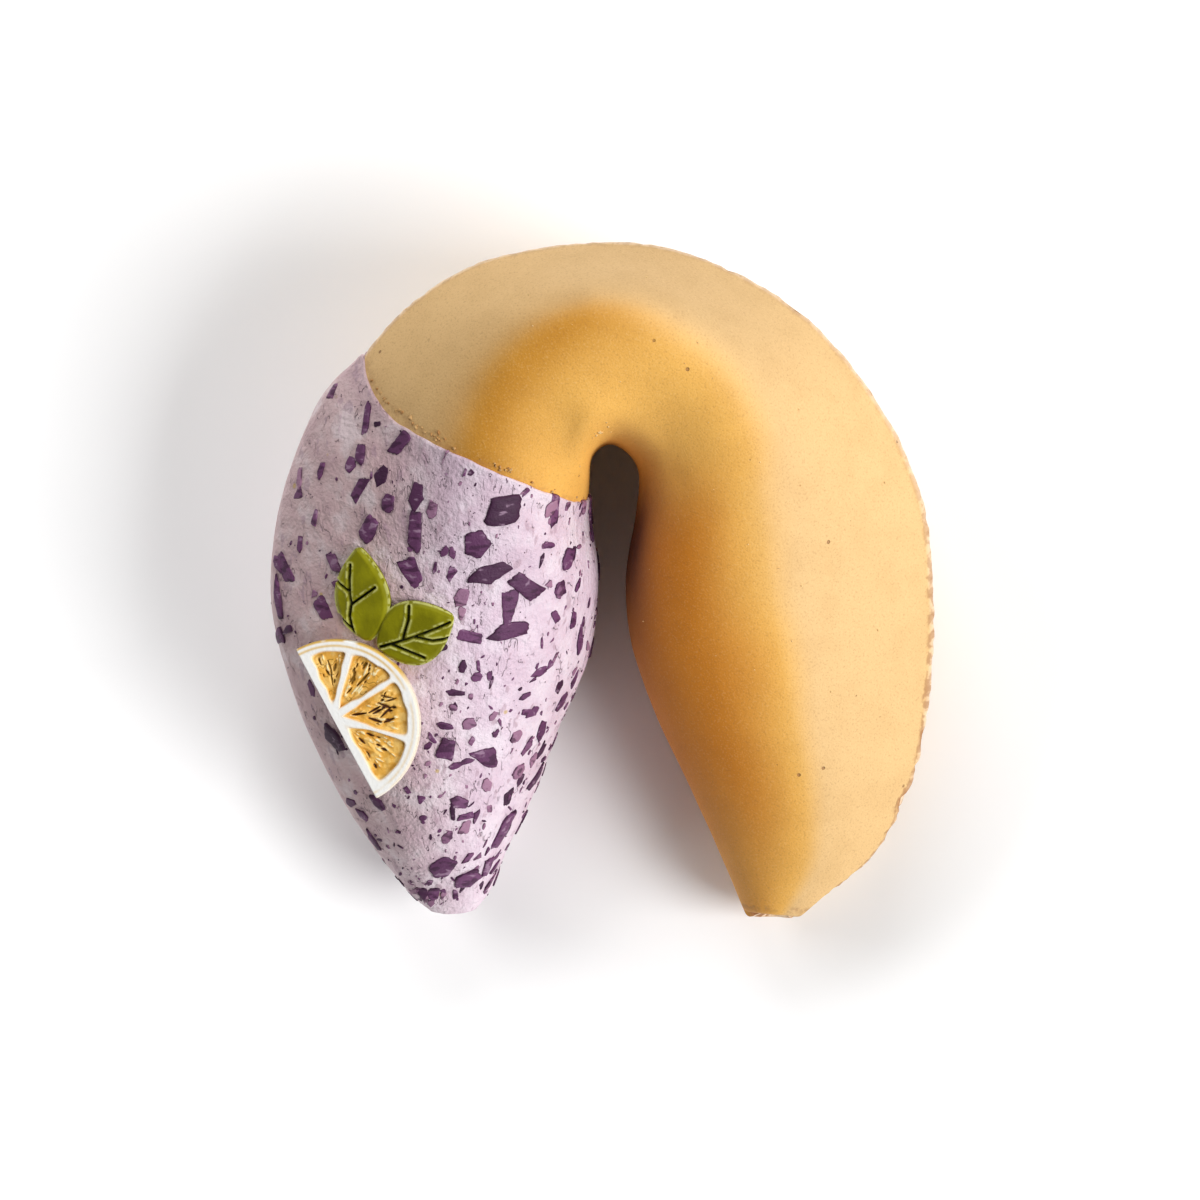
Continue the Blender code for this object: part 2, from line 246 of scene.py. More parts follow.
@dataclass
class Shape:
    """A closed surface: points in millimetres, quads, triangles and values at the points."""

    points: Array
    quads: Array
    triangles: Array = field(default_factory=lambda: NO_TRIANGLES)
    marks: dict[str, Array] = field(default_factory=dict)

    def make(self, name: str, material: bpy.types.Material, slot: Slot,
             replaced: tuple[str, ...] = ()) -> bpy.types.Object:
        """Turn the shape into a piece of the cookie, with its faces pointing outwards.

        Args:
            name: The piece's name.
            material: Its finish.
            slot: Not used.
            replaced: Solids that it stands for.

        Returns:
            The new object, riding on the cookie's body.
        """
        points = self.points.reshape(-1, 3)
        quads, triangles = self.quads, self.triangles
        if volume(points, quads, triangles) < 0:
            quads, triangles = quads[:, ::-1], triangles[:, ::-1]
        mesh = bpy.data.meshes.new(name)
        corners = np.concatenate([quads.reshape(-1), triangles.reshape(-1)])
        starts = np.concatenate([np.arange(len(quads)) * 4,
                                 len(quads) * 4 + np.arange(len(triangles)) * 3])
        mesh.vertices.add(len(points))
        mesh.vertices.foreach_set("co", (points * MM).astype(np.float32).ravel())
        mesh.loops.add(len(corners))
        mesh.loops.foreach_set("vertex_index", corners.astype(np.int32))
        mesh.polygons.add(len(starts))
        mesh.polygons.foreach_set("loop_start", starts.astype(np.int32))
        mesh.update(calc_edges=True)
        mesh.validate()
        mesh.shade_smooth()
        for mark, values in self.marks.items():
            layer = mesh.attributes.new(mark, "FLOAT", "POINT")
            layer.data.foreach_set("value", values.astype(np.float32).ravel())
        mesh.materials.append(material)
        piece = bpy.data.objects.new(name, mesh)
        bpy.context.scene.collection.objects.link(piece)
        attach(piece, BODY)
        if replaced:
            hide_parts(*replaced)
        count = 2 * len(quads) + len(triangles)
        low, high = points.min(axis=0), points.max(axis=0)
        log.info("%s: %d triangles, %s to %s mm", name, count, np.round(low, 2), np.round(high, 2))
        return piece


# --- Shader maths ----------------------------------------------------------------

Value = "Wire | float | Colour"


@dataclass
class Wire:
    """An output socket that takes part in Python expressions."""

    graph: Graph
    socket: bpy.types.NodeSocket

    def __add__(self, other: Value) -> Wire:
        """Sum of two values."""
        return self.graph.math("ADD", self, other)

    def __sub__(self, other: Value) -> Wire:
        """Difference of two values."""
        return self.graph.math("SUBTRACT", self, other)

    def __rsub__(self, other: Value) -> Wire:
        """Difference with the wire on the right."""
        return self.graph.math("SUBTRACT", other, self)

    def __mul__(self, other: Value) -> Wire:
        """Product of two values."""
        return self.graph.math("MULTIPLY", self, other)

    __radd__ = __add__
    __rmul__ = __mul__

    def rise(self, low: float, high: float) -> Wire:
        """Smooth step from 0 at low to 1 at high."""
        return self.graph.use("ShaderNodeMapRange", {"interpolation_type": "SMOOTHSTEP"}, "Result",
                              {"Value": self, "From Min": low, "From Max": high})


class Graph:
    """The node tree of one material."""

    def __init__(self, name: str) -> None:
        """Start a material with one Principled shader.

        Args:
            name: The material's name.
        """
        self.material = bpy.data.materials.new(name)
        self.material.use_nodes = True
        self.tree = self.material.node_tree
        self.shader = self.tree.nodes["Principled BSDF"]

    def use(self, kind: str, settings: dict, output: str | int, inputs: dict) -> Wire:
        """Add a node.

        Args:
            kind: Its type.
            settings: Its properties, set before its sockets.
            output: The output to read.
            inputs: Values or wires of its input sockets.

        Returns:
            The output as a wire.
        """
        node = self.tree.nodes.new(kind)
        for key, value in settings.items():
            setattr(node, key, value)
        for key, value in inputs.items():
            self.feed(node.inputs[key], value)
        return Wire(self, node.outputs[output])

    def feed(self, socket: bpy.types.NodeSocket, value: Value) -> None:
        """Set a socket, or link a wire to it; a colour socket gets its alpha."""
        if isinstance(value, Wire):
            self.tree.links.new(value.socket, socket)
        elif isinstance(value, tuple) and socket.type == "RGBA":
            socket.default_value = (*value, 1.0)
        else:
            socket.default_value = value

    def math(self, operation: str, first: Value, second: Value) -> Wire:
        """Combine two numbers with a Math node."""
        return self.use("ShaderNodeMath", {"operation": operation}, "Value", {0: first, 1: second})

    def blend(self, first: Value, second: Value, share: Value, mode: str = "MIX") -> Wire:
        """Mix two colours by a share."""
        settings = {"data_type": "RGBA", "blend_type": mode, "clamp_factor": True}
        return self.use("ShaderNodeMix", settings, 2, {0: share, 6: first, 7: second})

    def mark(self, name: str) -> Wire:
        """Read a value that the mesh holds at its points."""
        return self.use("ShaderNodeAttribute", {"attribute_name": name}, "Fac", {})

    def place(self) -> Wire:
        """Object coordinates, in metres."""
        return self.use("ShaderNodeTexCoord", {}, "Object", {})

    def stretched(self, scale: Colour, turn: Colour = (0.0, 0.0, 0.0)) -> Wire:
        """Object coordinates turned and stretched, for a pattern with a grain."""
        return self.use("ShaderNodeMapping", {}, "Vector",
                        {"Vector": self.place(), "Rotation": turn, "Scale": scale})

    def noise(self, pitch: float, detail: float = 2.0, place: Wire | None = None) -> Wire:
        """Noise from 0 to 1 with spots about a pitch apart, in millimetres."""
        return self.use("ShaderNodeTexNoise", {}, "Fac",
                        {"Vector": place or self.place(), "Scale": 1 / (pitch * MM), "Detail": detail})

    def cells(self, pitch: float) -> Wire:
        """Distance within cells about a pitch apart, in millimetres."""
        return self.use("ShaderNodeTexVoronoi", {"feature": "F1"}, "Distance",
                        {"Vector": self.place(), "Scale": 1 / (pitch * MM)})

    def relief(self, height: Wire, depth: float) -> None:
        """Bump the surface by a height from 0 to 1 that stands for a depth in millimetres."""
        normal = self.use("ShaderNodeBump", {}, "Normal",
                          {"Height": height, "Distance": depth * MM, "Strength": 1.0})
        self.feed(self.shader.inputs["Normal"], normal)

    def finish(self, colour: Value, roughness: Value, **constants: Value) -> bpy.types.Material:
        """Feed the shader.

        Args:
            colour: Base colour, linear.
            roughness: Roughness.
            constants: Other sockets by name, with _ for a space.

        Returns:
            The finished material.
        """
        self.feed(self.shader.inputs["Base Color"], colour)
        self.feed(self.shader.inputs["Roughness"], roughness)
        for key, value in constants.items():
            self.feed(self.shader.inputs[key.replace("_", " ")], value)
        return self.material


# --- Finishes --------------------------------------------------------------------

@dataclass(frozen=True)
class BakedWafer:
    """Dry baked dough: pale beyond the ridge, golden inside it, cream where it is cut, with painted shade in
    the fold, on the bare horn's inner flank, the ridge, the brow, under the icing and at its edge.
    """

    pale: Colour = (0.85, 0.548, 0.238)
    golden: Colour = (0.735, 0.255, 0.014)      # painted shade: the deeper orange of the bare horn's shaded inner flank
    honey: Colour = (0.95, 0.515, 0.110)       # round the notch and along the ridge
    # baked browning and painted shade on the ridge beside the icing
    ridge: Colour = (0.62, 0.27, 0.022)
    # painted shade: near black in the fold
    fold_shade: Colour = (0.09, 0.022, 0.003)
    cream: Colour = (0.93, 0.69, 0.47)
    toasted: Colour = (0.40, 0.17, 0.06)
    shaded: Colour = (0.70, 0.70, 0.72)        # painted shade, multiplied in on the brow and under the icing
    blotched: Colour = (0.86, 0.82, 0.76)      # multiplied in by large soft spots
    light_grain: Colour = (0.97, 0.72, 0.36)
    grain: float = 0.16
    blotch: float = 3.0
    roughness: float = 0.66

    def material(self) -> bpy.types.Material:
        """Build the finish.

        Returns:
            The material.
        """
        graph = Graph("baked_wafer")
        base = graph.blend(self.pale, self.honey, graph.mark("honey"))
        # painted shade: the bare horn's inner flank turns a deeper orange
        base = graph.blend(base, self.golden, graph.mark("golden"))
        # baked browning and painted shade on the ridge beside the icing
        base = graph.blend(base, self.ridge, graph.mark("ridge"))
        # painted shade multiplied in on the brow and under the icing
        base = graph.blend(base, self.shaded, graph.mark("painted_shade"), "MULTIPLY")
        blotch = graph.noise(self.blotch, 3.0)
        base = graph.blend(base, self.blotched, blotch.rise(0.40, 0.68) * 0.32, "MULTIPLY")
        grain = graph.noise(self.grain, 2.0)
        base = graph.blend(base, self.light_grain, grain.rise(0.54, 0.70) * 0.14)
        base = graph.blend(base, self.toasted, (1 - grain).rise(0.54, 0.72) * 0.26)
        # painted shade, near black, in the fold
        base = graph.blend(base, self.fold_shade, graph.mark("fold_shade"))
        pits = 1 - graph.cells(2.3).rise(0.045, 0.075)
        few = graph.noise(4.0, 0.0).rise(0.56, 0.60)
        base = graph.blend(base, self.toasted, pits * few * 0.75)
        crumb = graph.noise(0.45, 3.0)
        edge = graph.blend(self.cream, self.toasted, crumb.rise(0.52, 0.70) * 0.55)
        edge = graph.blend(edge, self.toasted, graph.mark("nick"))
        base = graph.blend(base, edge, graph.mark("cut"))
        broken = graph.noise(0.8, 2.0).rise(0.42, 0.56)
        # toasted lines at the cut rim and the bare tip, and a painted shadow along the icing's edge
        base = graph.blend(base, self.toasted, graph.mark("line") * broken * 0.6)
        height = grain * 0.5 + graph.noise(0.6, 2.0) * 0.5 - pits * few * 2.0
        graph.relief(height + graph.mark("cut") * crumb * 3.0, 0.06)
        return graph.finish(base, self.roughness, Specular_IOR_Level=0.35)


@dataclass(frozen=True)
class LavenderIcing:
    """Matte icing, light purple where lit on the inner side and a rosier painted shade outside, with a patch
    of painted shade near its upper edge, scratches and specks.
    """

    # the icing's colour where it is lit
    lit_lilac: Colour = (0.83, 0.675, 0.785)
    # painted shade: a darker, warmer copy of the icing colour for the outer side
    shaded_rose: Colour = (0.70, 0.505, 0.515)
    # painted shade, multiplied in on a patch near the icing's upper edge
    painted_shade: Colour = (0.74, 0.72, 0.72)
    speck: Colour = (0.13, 0.05, 0.10)
    mauve: Colour = (0.45, 0.29, 0.36)
    clouded: Colour = (0.86, 0.77, 0.82)       # multiplied in by large soft spots
    bright: Colour = (0.97, 0.92, 0.97)
    gold: Colour = (0.62, 0.42, 0.10)
    roughness: float = 0.58

    def material(self) -> bpy.types.Material:
        """Build the finish.

        Returns:
            The material.
        """
        graph = Graph("lavender_icing")
        # painted light and shade: the lit colour on the inner side, its shaded copy outside
        base = graph.blend(self.shaded_rose, self.lit_lilac, graph.mark("lit_lilac"))
        # painted shade multiplied in on a patch near the icing's upper edge
        base = graph.blend(base, self.painted_shade, graph.mark("painted_shade"), "MULTIPLY")
        cloudy = graph.noise(2.6, 4.0)
        base = graph.blend(base, self.clouded, cloudy.rise(0.45, 0.66) * 0.6, "MULTIPLY")
        base = graph.blend(base, self.bright, (1 - cloudy).rise(0.50, 0.66) * 0.3)
        smear = graph.noise(0.75, 3.0, graph.stretched((1.0, 0.45, 0.8), (0.0, 0.0, -0.5)))
        base = graph.blend(base, self.mauve, smear.rise(0.60, 0.68) * 0.55)
        dots = 1 - graph.cells(0.55).rise(0.07, 0.15)
        dots = dots * graph.noise(1.3, 1.0).rise(0.46, 0.56)
        base = graph.blend(base, self.speck, dots * 0.8)
        golden = 1 - graph.cells(2.4).rise(0.06, 0.11)
        base = graph.blend(base, self.gold, golden * graph.noise(5.0, 0.0).rise(0.58, 0.62) * 0.7)
        hair = graph.noise(1.0, 2.5, graph.stretched((1.0, 0.30, 0.7), (0.0, 0.0, 0.6)))
        scratch = 1 - graph.math("ABSOLUTE", hair - 0.5, 0.0).rise(0.0, 0.014)
        scratch = scratch * graph.noise(1.3, 1.0).rise(0.54, 0.62)
        base = graph.blend(base, self.speck, scratch * 0.35)
        height = graph.noise(0.9, 3.0) * 1.1 + graph.noise(0.30, 3.0) * 0.65 - scratch * 0.6 - dots * 0.5
        graph.relief(height + smear * 0.8, 0.21)
        return graph.finish(base, self.roughness, Specular_IOR_Level=0.4)


@dataclass(frozen=True)
class PlumFlake:
    """Angular dried petals in the icing, from dark plum to a veiled mauve."""

    dark: Colour = (0.046, 0.013, 0.040)
    plum: Colour = (0.170, 0.058, 0.150)
    veiled: Colour = (0.43, 0.23, 0.34)
    # colour of the painted highlights: pale streaks between the dark ones
    pale: Colour = (0.50, 0.33, 0.46)
    roughness: float = 0.55

    def material(self) -> bpy.types.Material:
        """Build the finish.

        Returns:
            The material.
        """
        graph = Graph("plum_flake")
        shade = graph.mark("shade")
        base = graph.blend(self.dark, self.plum, shade.rise(0.0, 0.5))
        base = graph.blend(base, self.veiled, shade.rise(0.5, 1.0))
        streak = graph.noise(0.55, 3.0, graph.stretched((0.35, 1.0, 0.6), (0.0, 0.0, 0.35)))
        base = graph.blend(base, self.dark, streak.rise(0.52, 0.62) * 0.7)
        # painted highlight: pale streaks between the dark ones
        painted_highlight = (1 - streak).rise(0.55, 0.64) * graph.noise(0.8, 1.0).rise(0.46, 0.58)
        base = graph.blend(base, self.pale, painted_highlight * 0.5)
        edge = graph.mark("edge") * graph.noise(0.6, 1.0).rise(0.40, 0.52)
        base = graph.blend(base, self.dark, edge * 0.8)
        graph.relief(streak + graph.noise(0.2, 2.0) * 0.5, 0.09)
        return graph.finish(base, self.roughness, Specular_IOR_Level=0.22)


@dataclass(frozen=True)
class LemonFlesh:
    """Dried lemon: golden rind line, white pith and membranes, amber pulp with brown cells, and painted
    highlights on raised strokes.
    """

    rind: Colour = (0.80, 0.50, 0.10)
    pith: Colour = (0.995, 0.99, 0.965)
    amber: Colour = (0.80, 0.42, 0.065)
    honey: Colour = (0.92, 0.58, 0.16)
    # painted highlight colour on the raised strokes
    gleam: Colour = (0.99, 0.90, 0.55)
    olive: Colour = (0.26, 0.13, 0.008)
    cell: Colour = (0.075, 0.018, 0.004)
    roughness: float = 0.45

    def material(self) -> bpy.types.Material:
        """Build the finish.

        Returns:
            The material.
        """
        graph = Graph("lemon_flesh")
        pulp = graph.blend(self.amber, self.honey, graph.noise(0.7, 2.0).rise(0.44, 0.60))
        vesicle = graph.noise(0.75, 1.0)
        lines = 1 - graph.math("ABSOLUTE", vesicle - 0.5, 0.0).rise(0.004, 0.030)
        lines = lines * (1 - graph.mark("lining")) * graph.noise(0.9, 1.0).rise(0.44, 0.54)
        pulp = graph.blend(pulp, self.olive, lines * graph.mark("upper") * 0.85)
        # painted highlight on the raised strokes
        shining = graph.noise(0.5, 1.0).rise(0.44, 0.58)
        pulp = graph.blend(pulp, self.gleam, graph.mark("glinting_fibre") * shining * 0.8)
        stroke = graph.blend(self.cell, self.olive, graph.mark("upper"))
        pulp = graph.blend(pulp, stroke, graph.mark("cell"))
        base = graph.blend(self.pith, self.honey, graph.mark("lining") * 0.3)
        base = graph.blend(base, pulp, graph.mark("pulp"))
        base = graph.blend(base, self.rind, graph.mark("rind") * graph.noise(1.4, 1.0).rise(0.28, 0.48))
        graph.relief(graph.noise(0.25, 2.0), 0.04)
        return graph.finish(base, self.roughness, Specular_IOR_Level=0.35)


@dataclass(frozen=True)
class OliveLeaf:
    """Satin olive-green leaf with dark carved veins, painted highlights beside the veins and at the edges,
    and a lighter green of painted light.
    """

    green: Colour = (0.175, 0.165, 0.002)
    # painted light: the lighter green of a lit leaf
    lit_green: Colour = (0.340, 0.322, 0.006)
    # painted highlight colour beside the veins and at the edges
    light: Colour = (0.66, 0.66, 0.22)
    vein: Colour = (0.010, 0.011, 0.003)
    roughness: float = 0.5

    def material(self) -> bpy.types.Material:
        """Build the finish.

        Returns:
            The material.
        """
        graph = Graph("olive_leaf")
        # random tone plus a lighter green of painted light set for each leaf
        tone = graph.noise(1.9, 2.0).rise(0.4, 0.62) * 0.4 + graph.mark("lit_green")
        base = graph.blend(self.green, self.lit_green, tone)
        # painted highlight beside the veins and at the edges
        painted_highlight = graph.mark("painted_highlight") * graph.noise(0.5, 2.0).rise(0.38, 0.54)
        base = graph.blend(base, self.light, painted_highlight * 0.85)
        base = graph.blend(base, self.vein, graph.mark("vein"))
        graph.relief(graph.noise(0.35, 2.0), 0.035)
        return graph.finish(base, self.roughness, Specular_IOR_Level=0.14)


@dataclass(frozen=True)
class Crumb:
    """Loose crumbs, from cream to toasted."""

    cream: Colour = (0.92, 0.66, 0.30)
    toasted: Colour = (0.42, 0.19, 0.05)
    roughness: float = 0.7

    def material(self) -> bpy.types.Material:
        """Build the finish.

        Returns:
            The material.
        """
        graph = Graph("crumb")
        base = graph.blend(self.cream, self.toasted, graph.mark("shade"))
        graph.relief(graph.noise(0.12, 2.0), 0.02)
        return graph.finish(base, self.roughness)


@dataclass(frozen=True)
class PaleFloor:
    """Plain white table."""

    white: Colour = (0.94, 0.94, 0.94)
    faint: Colour = (0.93, 0.93, 0.93)
    roughness: float = 0.8

    def material(self) -> bpy.types.Material:
        """Build the finish.

        Returns:
            The material.
        """
        graph = Graph("pale_floor")
        tone = graph.noise(60.0, 1.0)
        base = graph.blend(self.white, self.faint, tone)
        return graph.finish(base, self.roughness)


# --- The folded form ---------------------------------------------------------------

@dataclass(frozen=True)
class CookieForm:
    """The wafer's outer skin, by station along the fold and turn round each section.

    Station 0 is the tip of the bare horn and the last station the tip of the iced one.
    Turn runs from -1 at the back rim over 0 at the fold to +1 at the front rim.
    """

    # The fold's x, y and then the rim's x, y at each station.
    stations: tuple = (
        (11.3, -26.3, 15.7, -26.7), (9.3, -21.8, 21.7, -21.7), (6.8, -16.2, 24.9, -15.6),
        (4.1, -10.4, 26.1, -8.6), (2.2, -4.8, 26.3, -1.2), (1.8, 0.6, 25.3, 6.4),
        (2.6, 5.4, 21.7, 14.0), (2.7, 8.9, 14.8, 21.4), (0.8, 10.7, 4.6, 25.9),
        (-0.8, 9.8, -6.5, 25.5), (-1.1, 7.2, -14.0, 22.2), (-1.3, 3.4, -19.8, 15.5),
        (-1.3, -1.2, -23.5, 7.4), (-2.1, -6.0, -24.7, -1.0), (-4.3, -11.3, -23.1, -8.4),
        (-6.3, -16.4, -20.1, -15.4), (-8.4, -20.8, -16.9, -20.6), (-9.6, -23.6, -14.4, -23.8))
    wall: float = 2.1
    crest_middle: float = 15.0
    crest_tip: float = 3.0
    crest_fall: float = 1.7
    crest_round: float = 0.9
    waist: float = 0.11
    waist_at: float = 0.42
    waist_spread: float = 0.22
    mouth_middle: float = 4.6
    mouth_tip: float = 0.9
    crest_share: float = 0.56
    crest_pull: float = 0.12
    crest_push: float = 0.14
    ridge_radius: float = 3.2
    dome_radius: float = 7.0
    flank_drop: float = 0.55
    flank_notch: float = 62.0
    flank_horn: float = 36.0
    flank_iced: float = 30.0
    # Fold to shoulder and shoulder to crest, as shares of the crest's distance and height.
    roll_arcs: tuple = ((0, 0), (0, 0.265), (0.105, 0.520), (0.293, 0.707),
                        (0.480, 0.895), (0.735, 1), (1, 1))
    crease_arcs: tuple = ((0, 0), (0, 0.53), (0.04, 0.870), (0.29, 0.915),
                          (0.52, 0.955), (0.75, 1), (1, 1))
    crease_at: float = 8.7
    crease_spread: float = 1.3
    crease_bare: float = 2.0       # spread towards the bare horn
    mid_height: float = 11.2
    mid_pitch: float = 0.195
    mid_roll: float = 0.032
    table_cut: float = 0.15
    coat_start: float = 9.5
    coat_reach: float = 0.8
    icing: float = 0.8
    icing_gap: float = 0.2
    dip_at_fold: float = 10.1
    dip_sag: float = 1.0
    dip_rise: float = 0.4

    @property
    def last(self) -> int:
        """Number of the last station."""
        return len(self.stations) - 1

    @property
    def coat(self) -> float:
        """Height of the icing's top over the wafer's skin."""
        return self.icing + self.icing_gap

    def skin(self, station: Array, turn: Array) -> Array:
        """Points on the outer skin.

        In plan a section runs straight from the fold to the rim. Over the tilted middle plane
        each lip rises from the fold to its crest on two Bezier arcs and drops to its rim on a
        third, whose end has a straight slope. The underside is worn flat at the table.

        Args:
            station: Places along the fold.
            turn: Places round the section.

        Returns:
            Points in millimetres.
        """
        plan = spline(np.array(self.stations), station)
        fold, rim = plan[..., :2], plan[..., 2:]
        width = np.linalg.norm(rim - fold, axis=-1)
        notch = self.last / 2
        out = np.clip(np.abs(station - notch) / notch, 0.0, 1.0)
        iced = np.clip((station - notch) / notch, 0.0, 1.0)

        waist = 1 - self.waist * bump(out, self.waist_at, self.waist_spread)
        crest = self.crest_tip + ((self.crest_middle - self.crest_tip)
                                  * (1 - out ** self.crest_fall) ** self.crest_round * waist)
        rim_height = mix(self.mouth_middle, self.mouth_tip, out) / 2 + self.wall
        crest_at = width * (self.crest_share - self.crest_pull * np.clip(out * 3, 0, 1)
                            + self.crest_push * out ** 4)
        slope = (mix(self.flank_notch, self.flank_horn, np.clip(out * 2, 0, 1))
                 + self.flank_iced * iced * (1 - out ** 8))
        rise = (crest - rim_height) * self.flank_drop
        run = rise / np.tan(np.radians(slope))
        radius = mix(self.ridge_radius, self.dome_radius, iced)
        handle = np.sqrt(radius * (crest - rim_height - rise) / 1.5)

        spread = np.where(station < self.crease_at, self.crease_bare, self.crease_spread)
        pressed = bump(station, self.crease_at, spread)[..., None, None]
        arcs = mix(np.array(self.roll_arcs), np.array(self.crease_arcs), pressed)
        arcs = arcs * np.stack([crest_at, crest], axis=-1)[..., None, :]
        lip = np.abs(turn)
        first = bezier([arcs[..., number, :] for number in range(4)],
                       np.clip(lip * 4, 0, 1)[..., None])
        second = bezier([arcs[..., number, :] for number in range(3, 7)],
                        np.clip(lip * 4 - 1, 0, 1)[..., None])
        share = np.maximum(lip * 2 - 1, 0.0)
        across = bezier((crest_at, crest_at + handle, width - run, width), share)
        height = bezier((crest, crest, rim_height + rise, rim_height), share)
        third = np.stack([across, height], axis=-1)
        level = lip[..., None]
        section = np.where(level <= 0.25, first, np.where(level <= 0.5, second, third))

        place = fold + (rim - fold) * (section[..., 0] / width)[..., None]
        x, y = place[..., 0], place[..., 1]
        middle = self.mid_height + self.mid_pitch * y - self.mid_roll * x
        lifted = np.clip((station - self.coat_start) / self.coat_reach, 0, 1)
        floor = self.table_cut + self.coat * lifted
        z = np.maximum(middle + section[..., 1] * np.sign(turn), floor) - self.table_cut
        return np.stack([x, y, z], axis=-1)

    def frame(self, station: Array, turn: Array) -> tuple[Array, Array]:
        """Directions on the skin, from differences over a small step.

        Args:
            station: Places along the fold.
            turn: Places round the section.

        Returns:
            Unit vectors that point out of the skin, and unit vectors towards the rim.
        """
        tiny = 1e-3
        along = self.skin(station + tiny, turn) - self.skin(station - tiny, turn)
        around = self.skin(station, turn + tiny) - self.skin(station, turn - tiny)
        return unit(np.cross(around, along)), unit(around) * np.sign(turn)[..., None]

    def over(self, station: Array, turn: Array, height: Array | float) -> Array:
        """Points at a height over the skin, along its normal."""
        return self.skin(station, turn) + np.asarray(height)[..., None] * self.frame(station, turn)[0]

    def dip(self, turn: Array) -> Array:
        """Station where the icing ends: it sags towards the tip on the lips.

        Args:
            turn: Places round the section.

        Returns:
            Stations.
        """
        lip = np.abs(turn)
        return self.dip_at_fold + self.dip_sag * (1 - (1 - lip) ** 3) - self.dip_rise * lip ** 9

    def locate(self, x: Array, y: Array, height: float, start: tuple[float, float]) -> tuple[Array, Array]:
        """Find the places whose points at a height over the skin stand at x, y in plan.

        Newton's method: each round solves the two by two system of the plan's slopes.

        Args:
            x: Wanted x.
            y: Wanted y.
            height: Height over the skin.
            start: Station and turn to start from.

        Returns:
            Station and turn of each place.
        """
        station, turn = np.full(x.shape, start[0]), np.full(x.shape, start[1])
        tiny = 1e-3
        for _ in range(9):
            here = self.over(station, turn, height)
            by_station = (self.over(station + tiny, turn, height) - here) / tiny
            by_turn = (self.over(station, turn + tiny, height) - here) / tiny
            miss_x, miss_y = x - here[..., 0], y - here[..., 1]
            det = by_station[..., 0] * by_turn[..., 1] - by_station[..., 1] * by_turn[..., 0]
            step = (miss_x * by_turn[..., 1] - miss_y * by_turn[..., 0]) / det
            shift = (by_station[..., 0] * miss_y - by_station[..., 1] * miss_x) / det
            station = np.clip(station + np.clip(step, -1, 1), self.coat_start, self.last)
            turn = np.clip(turn + np.clip(shift, -0.1, 0.1), 0.02, 0.98)
        return station, turn


# --- Pieces ------------------------------------------------------------------------

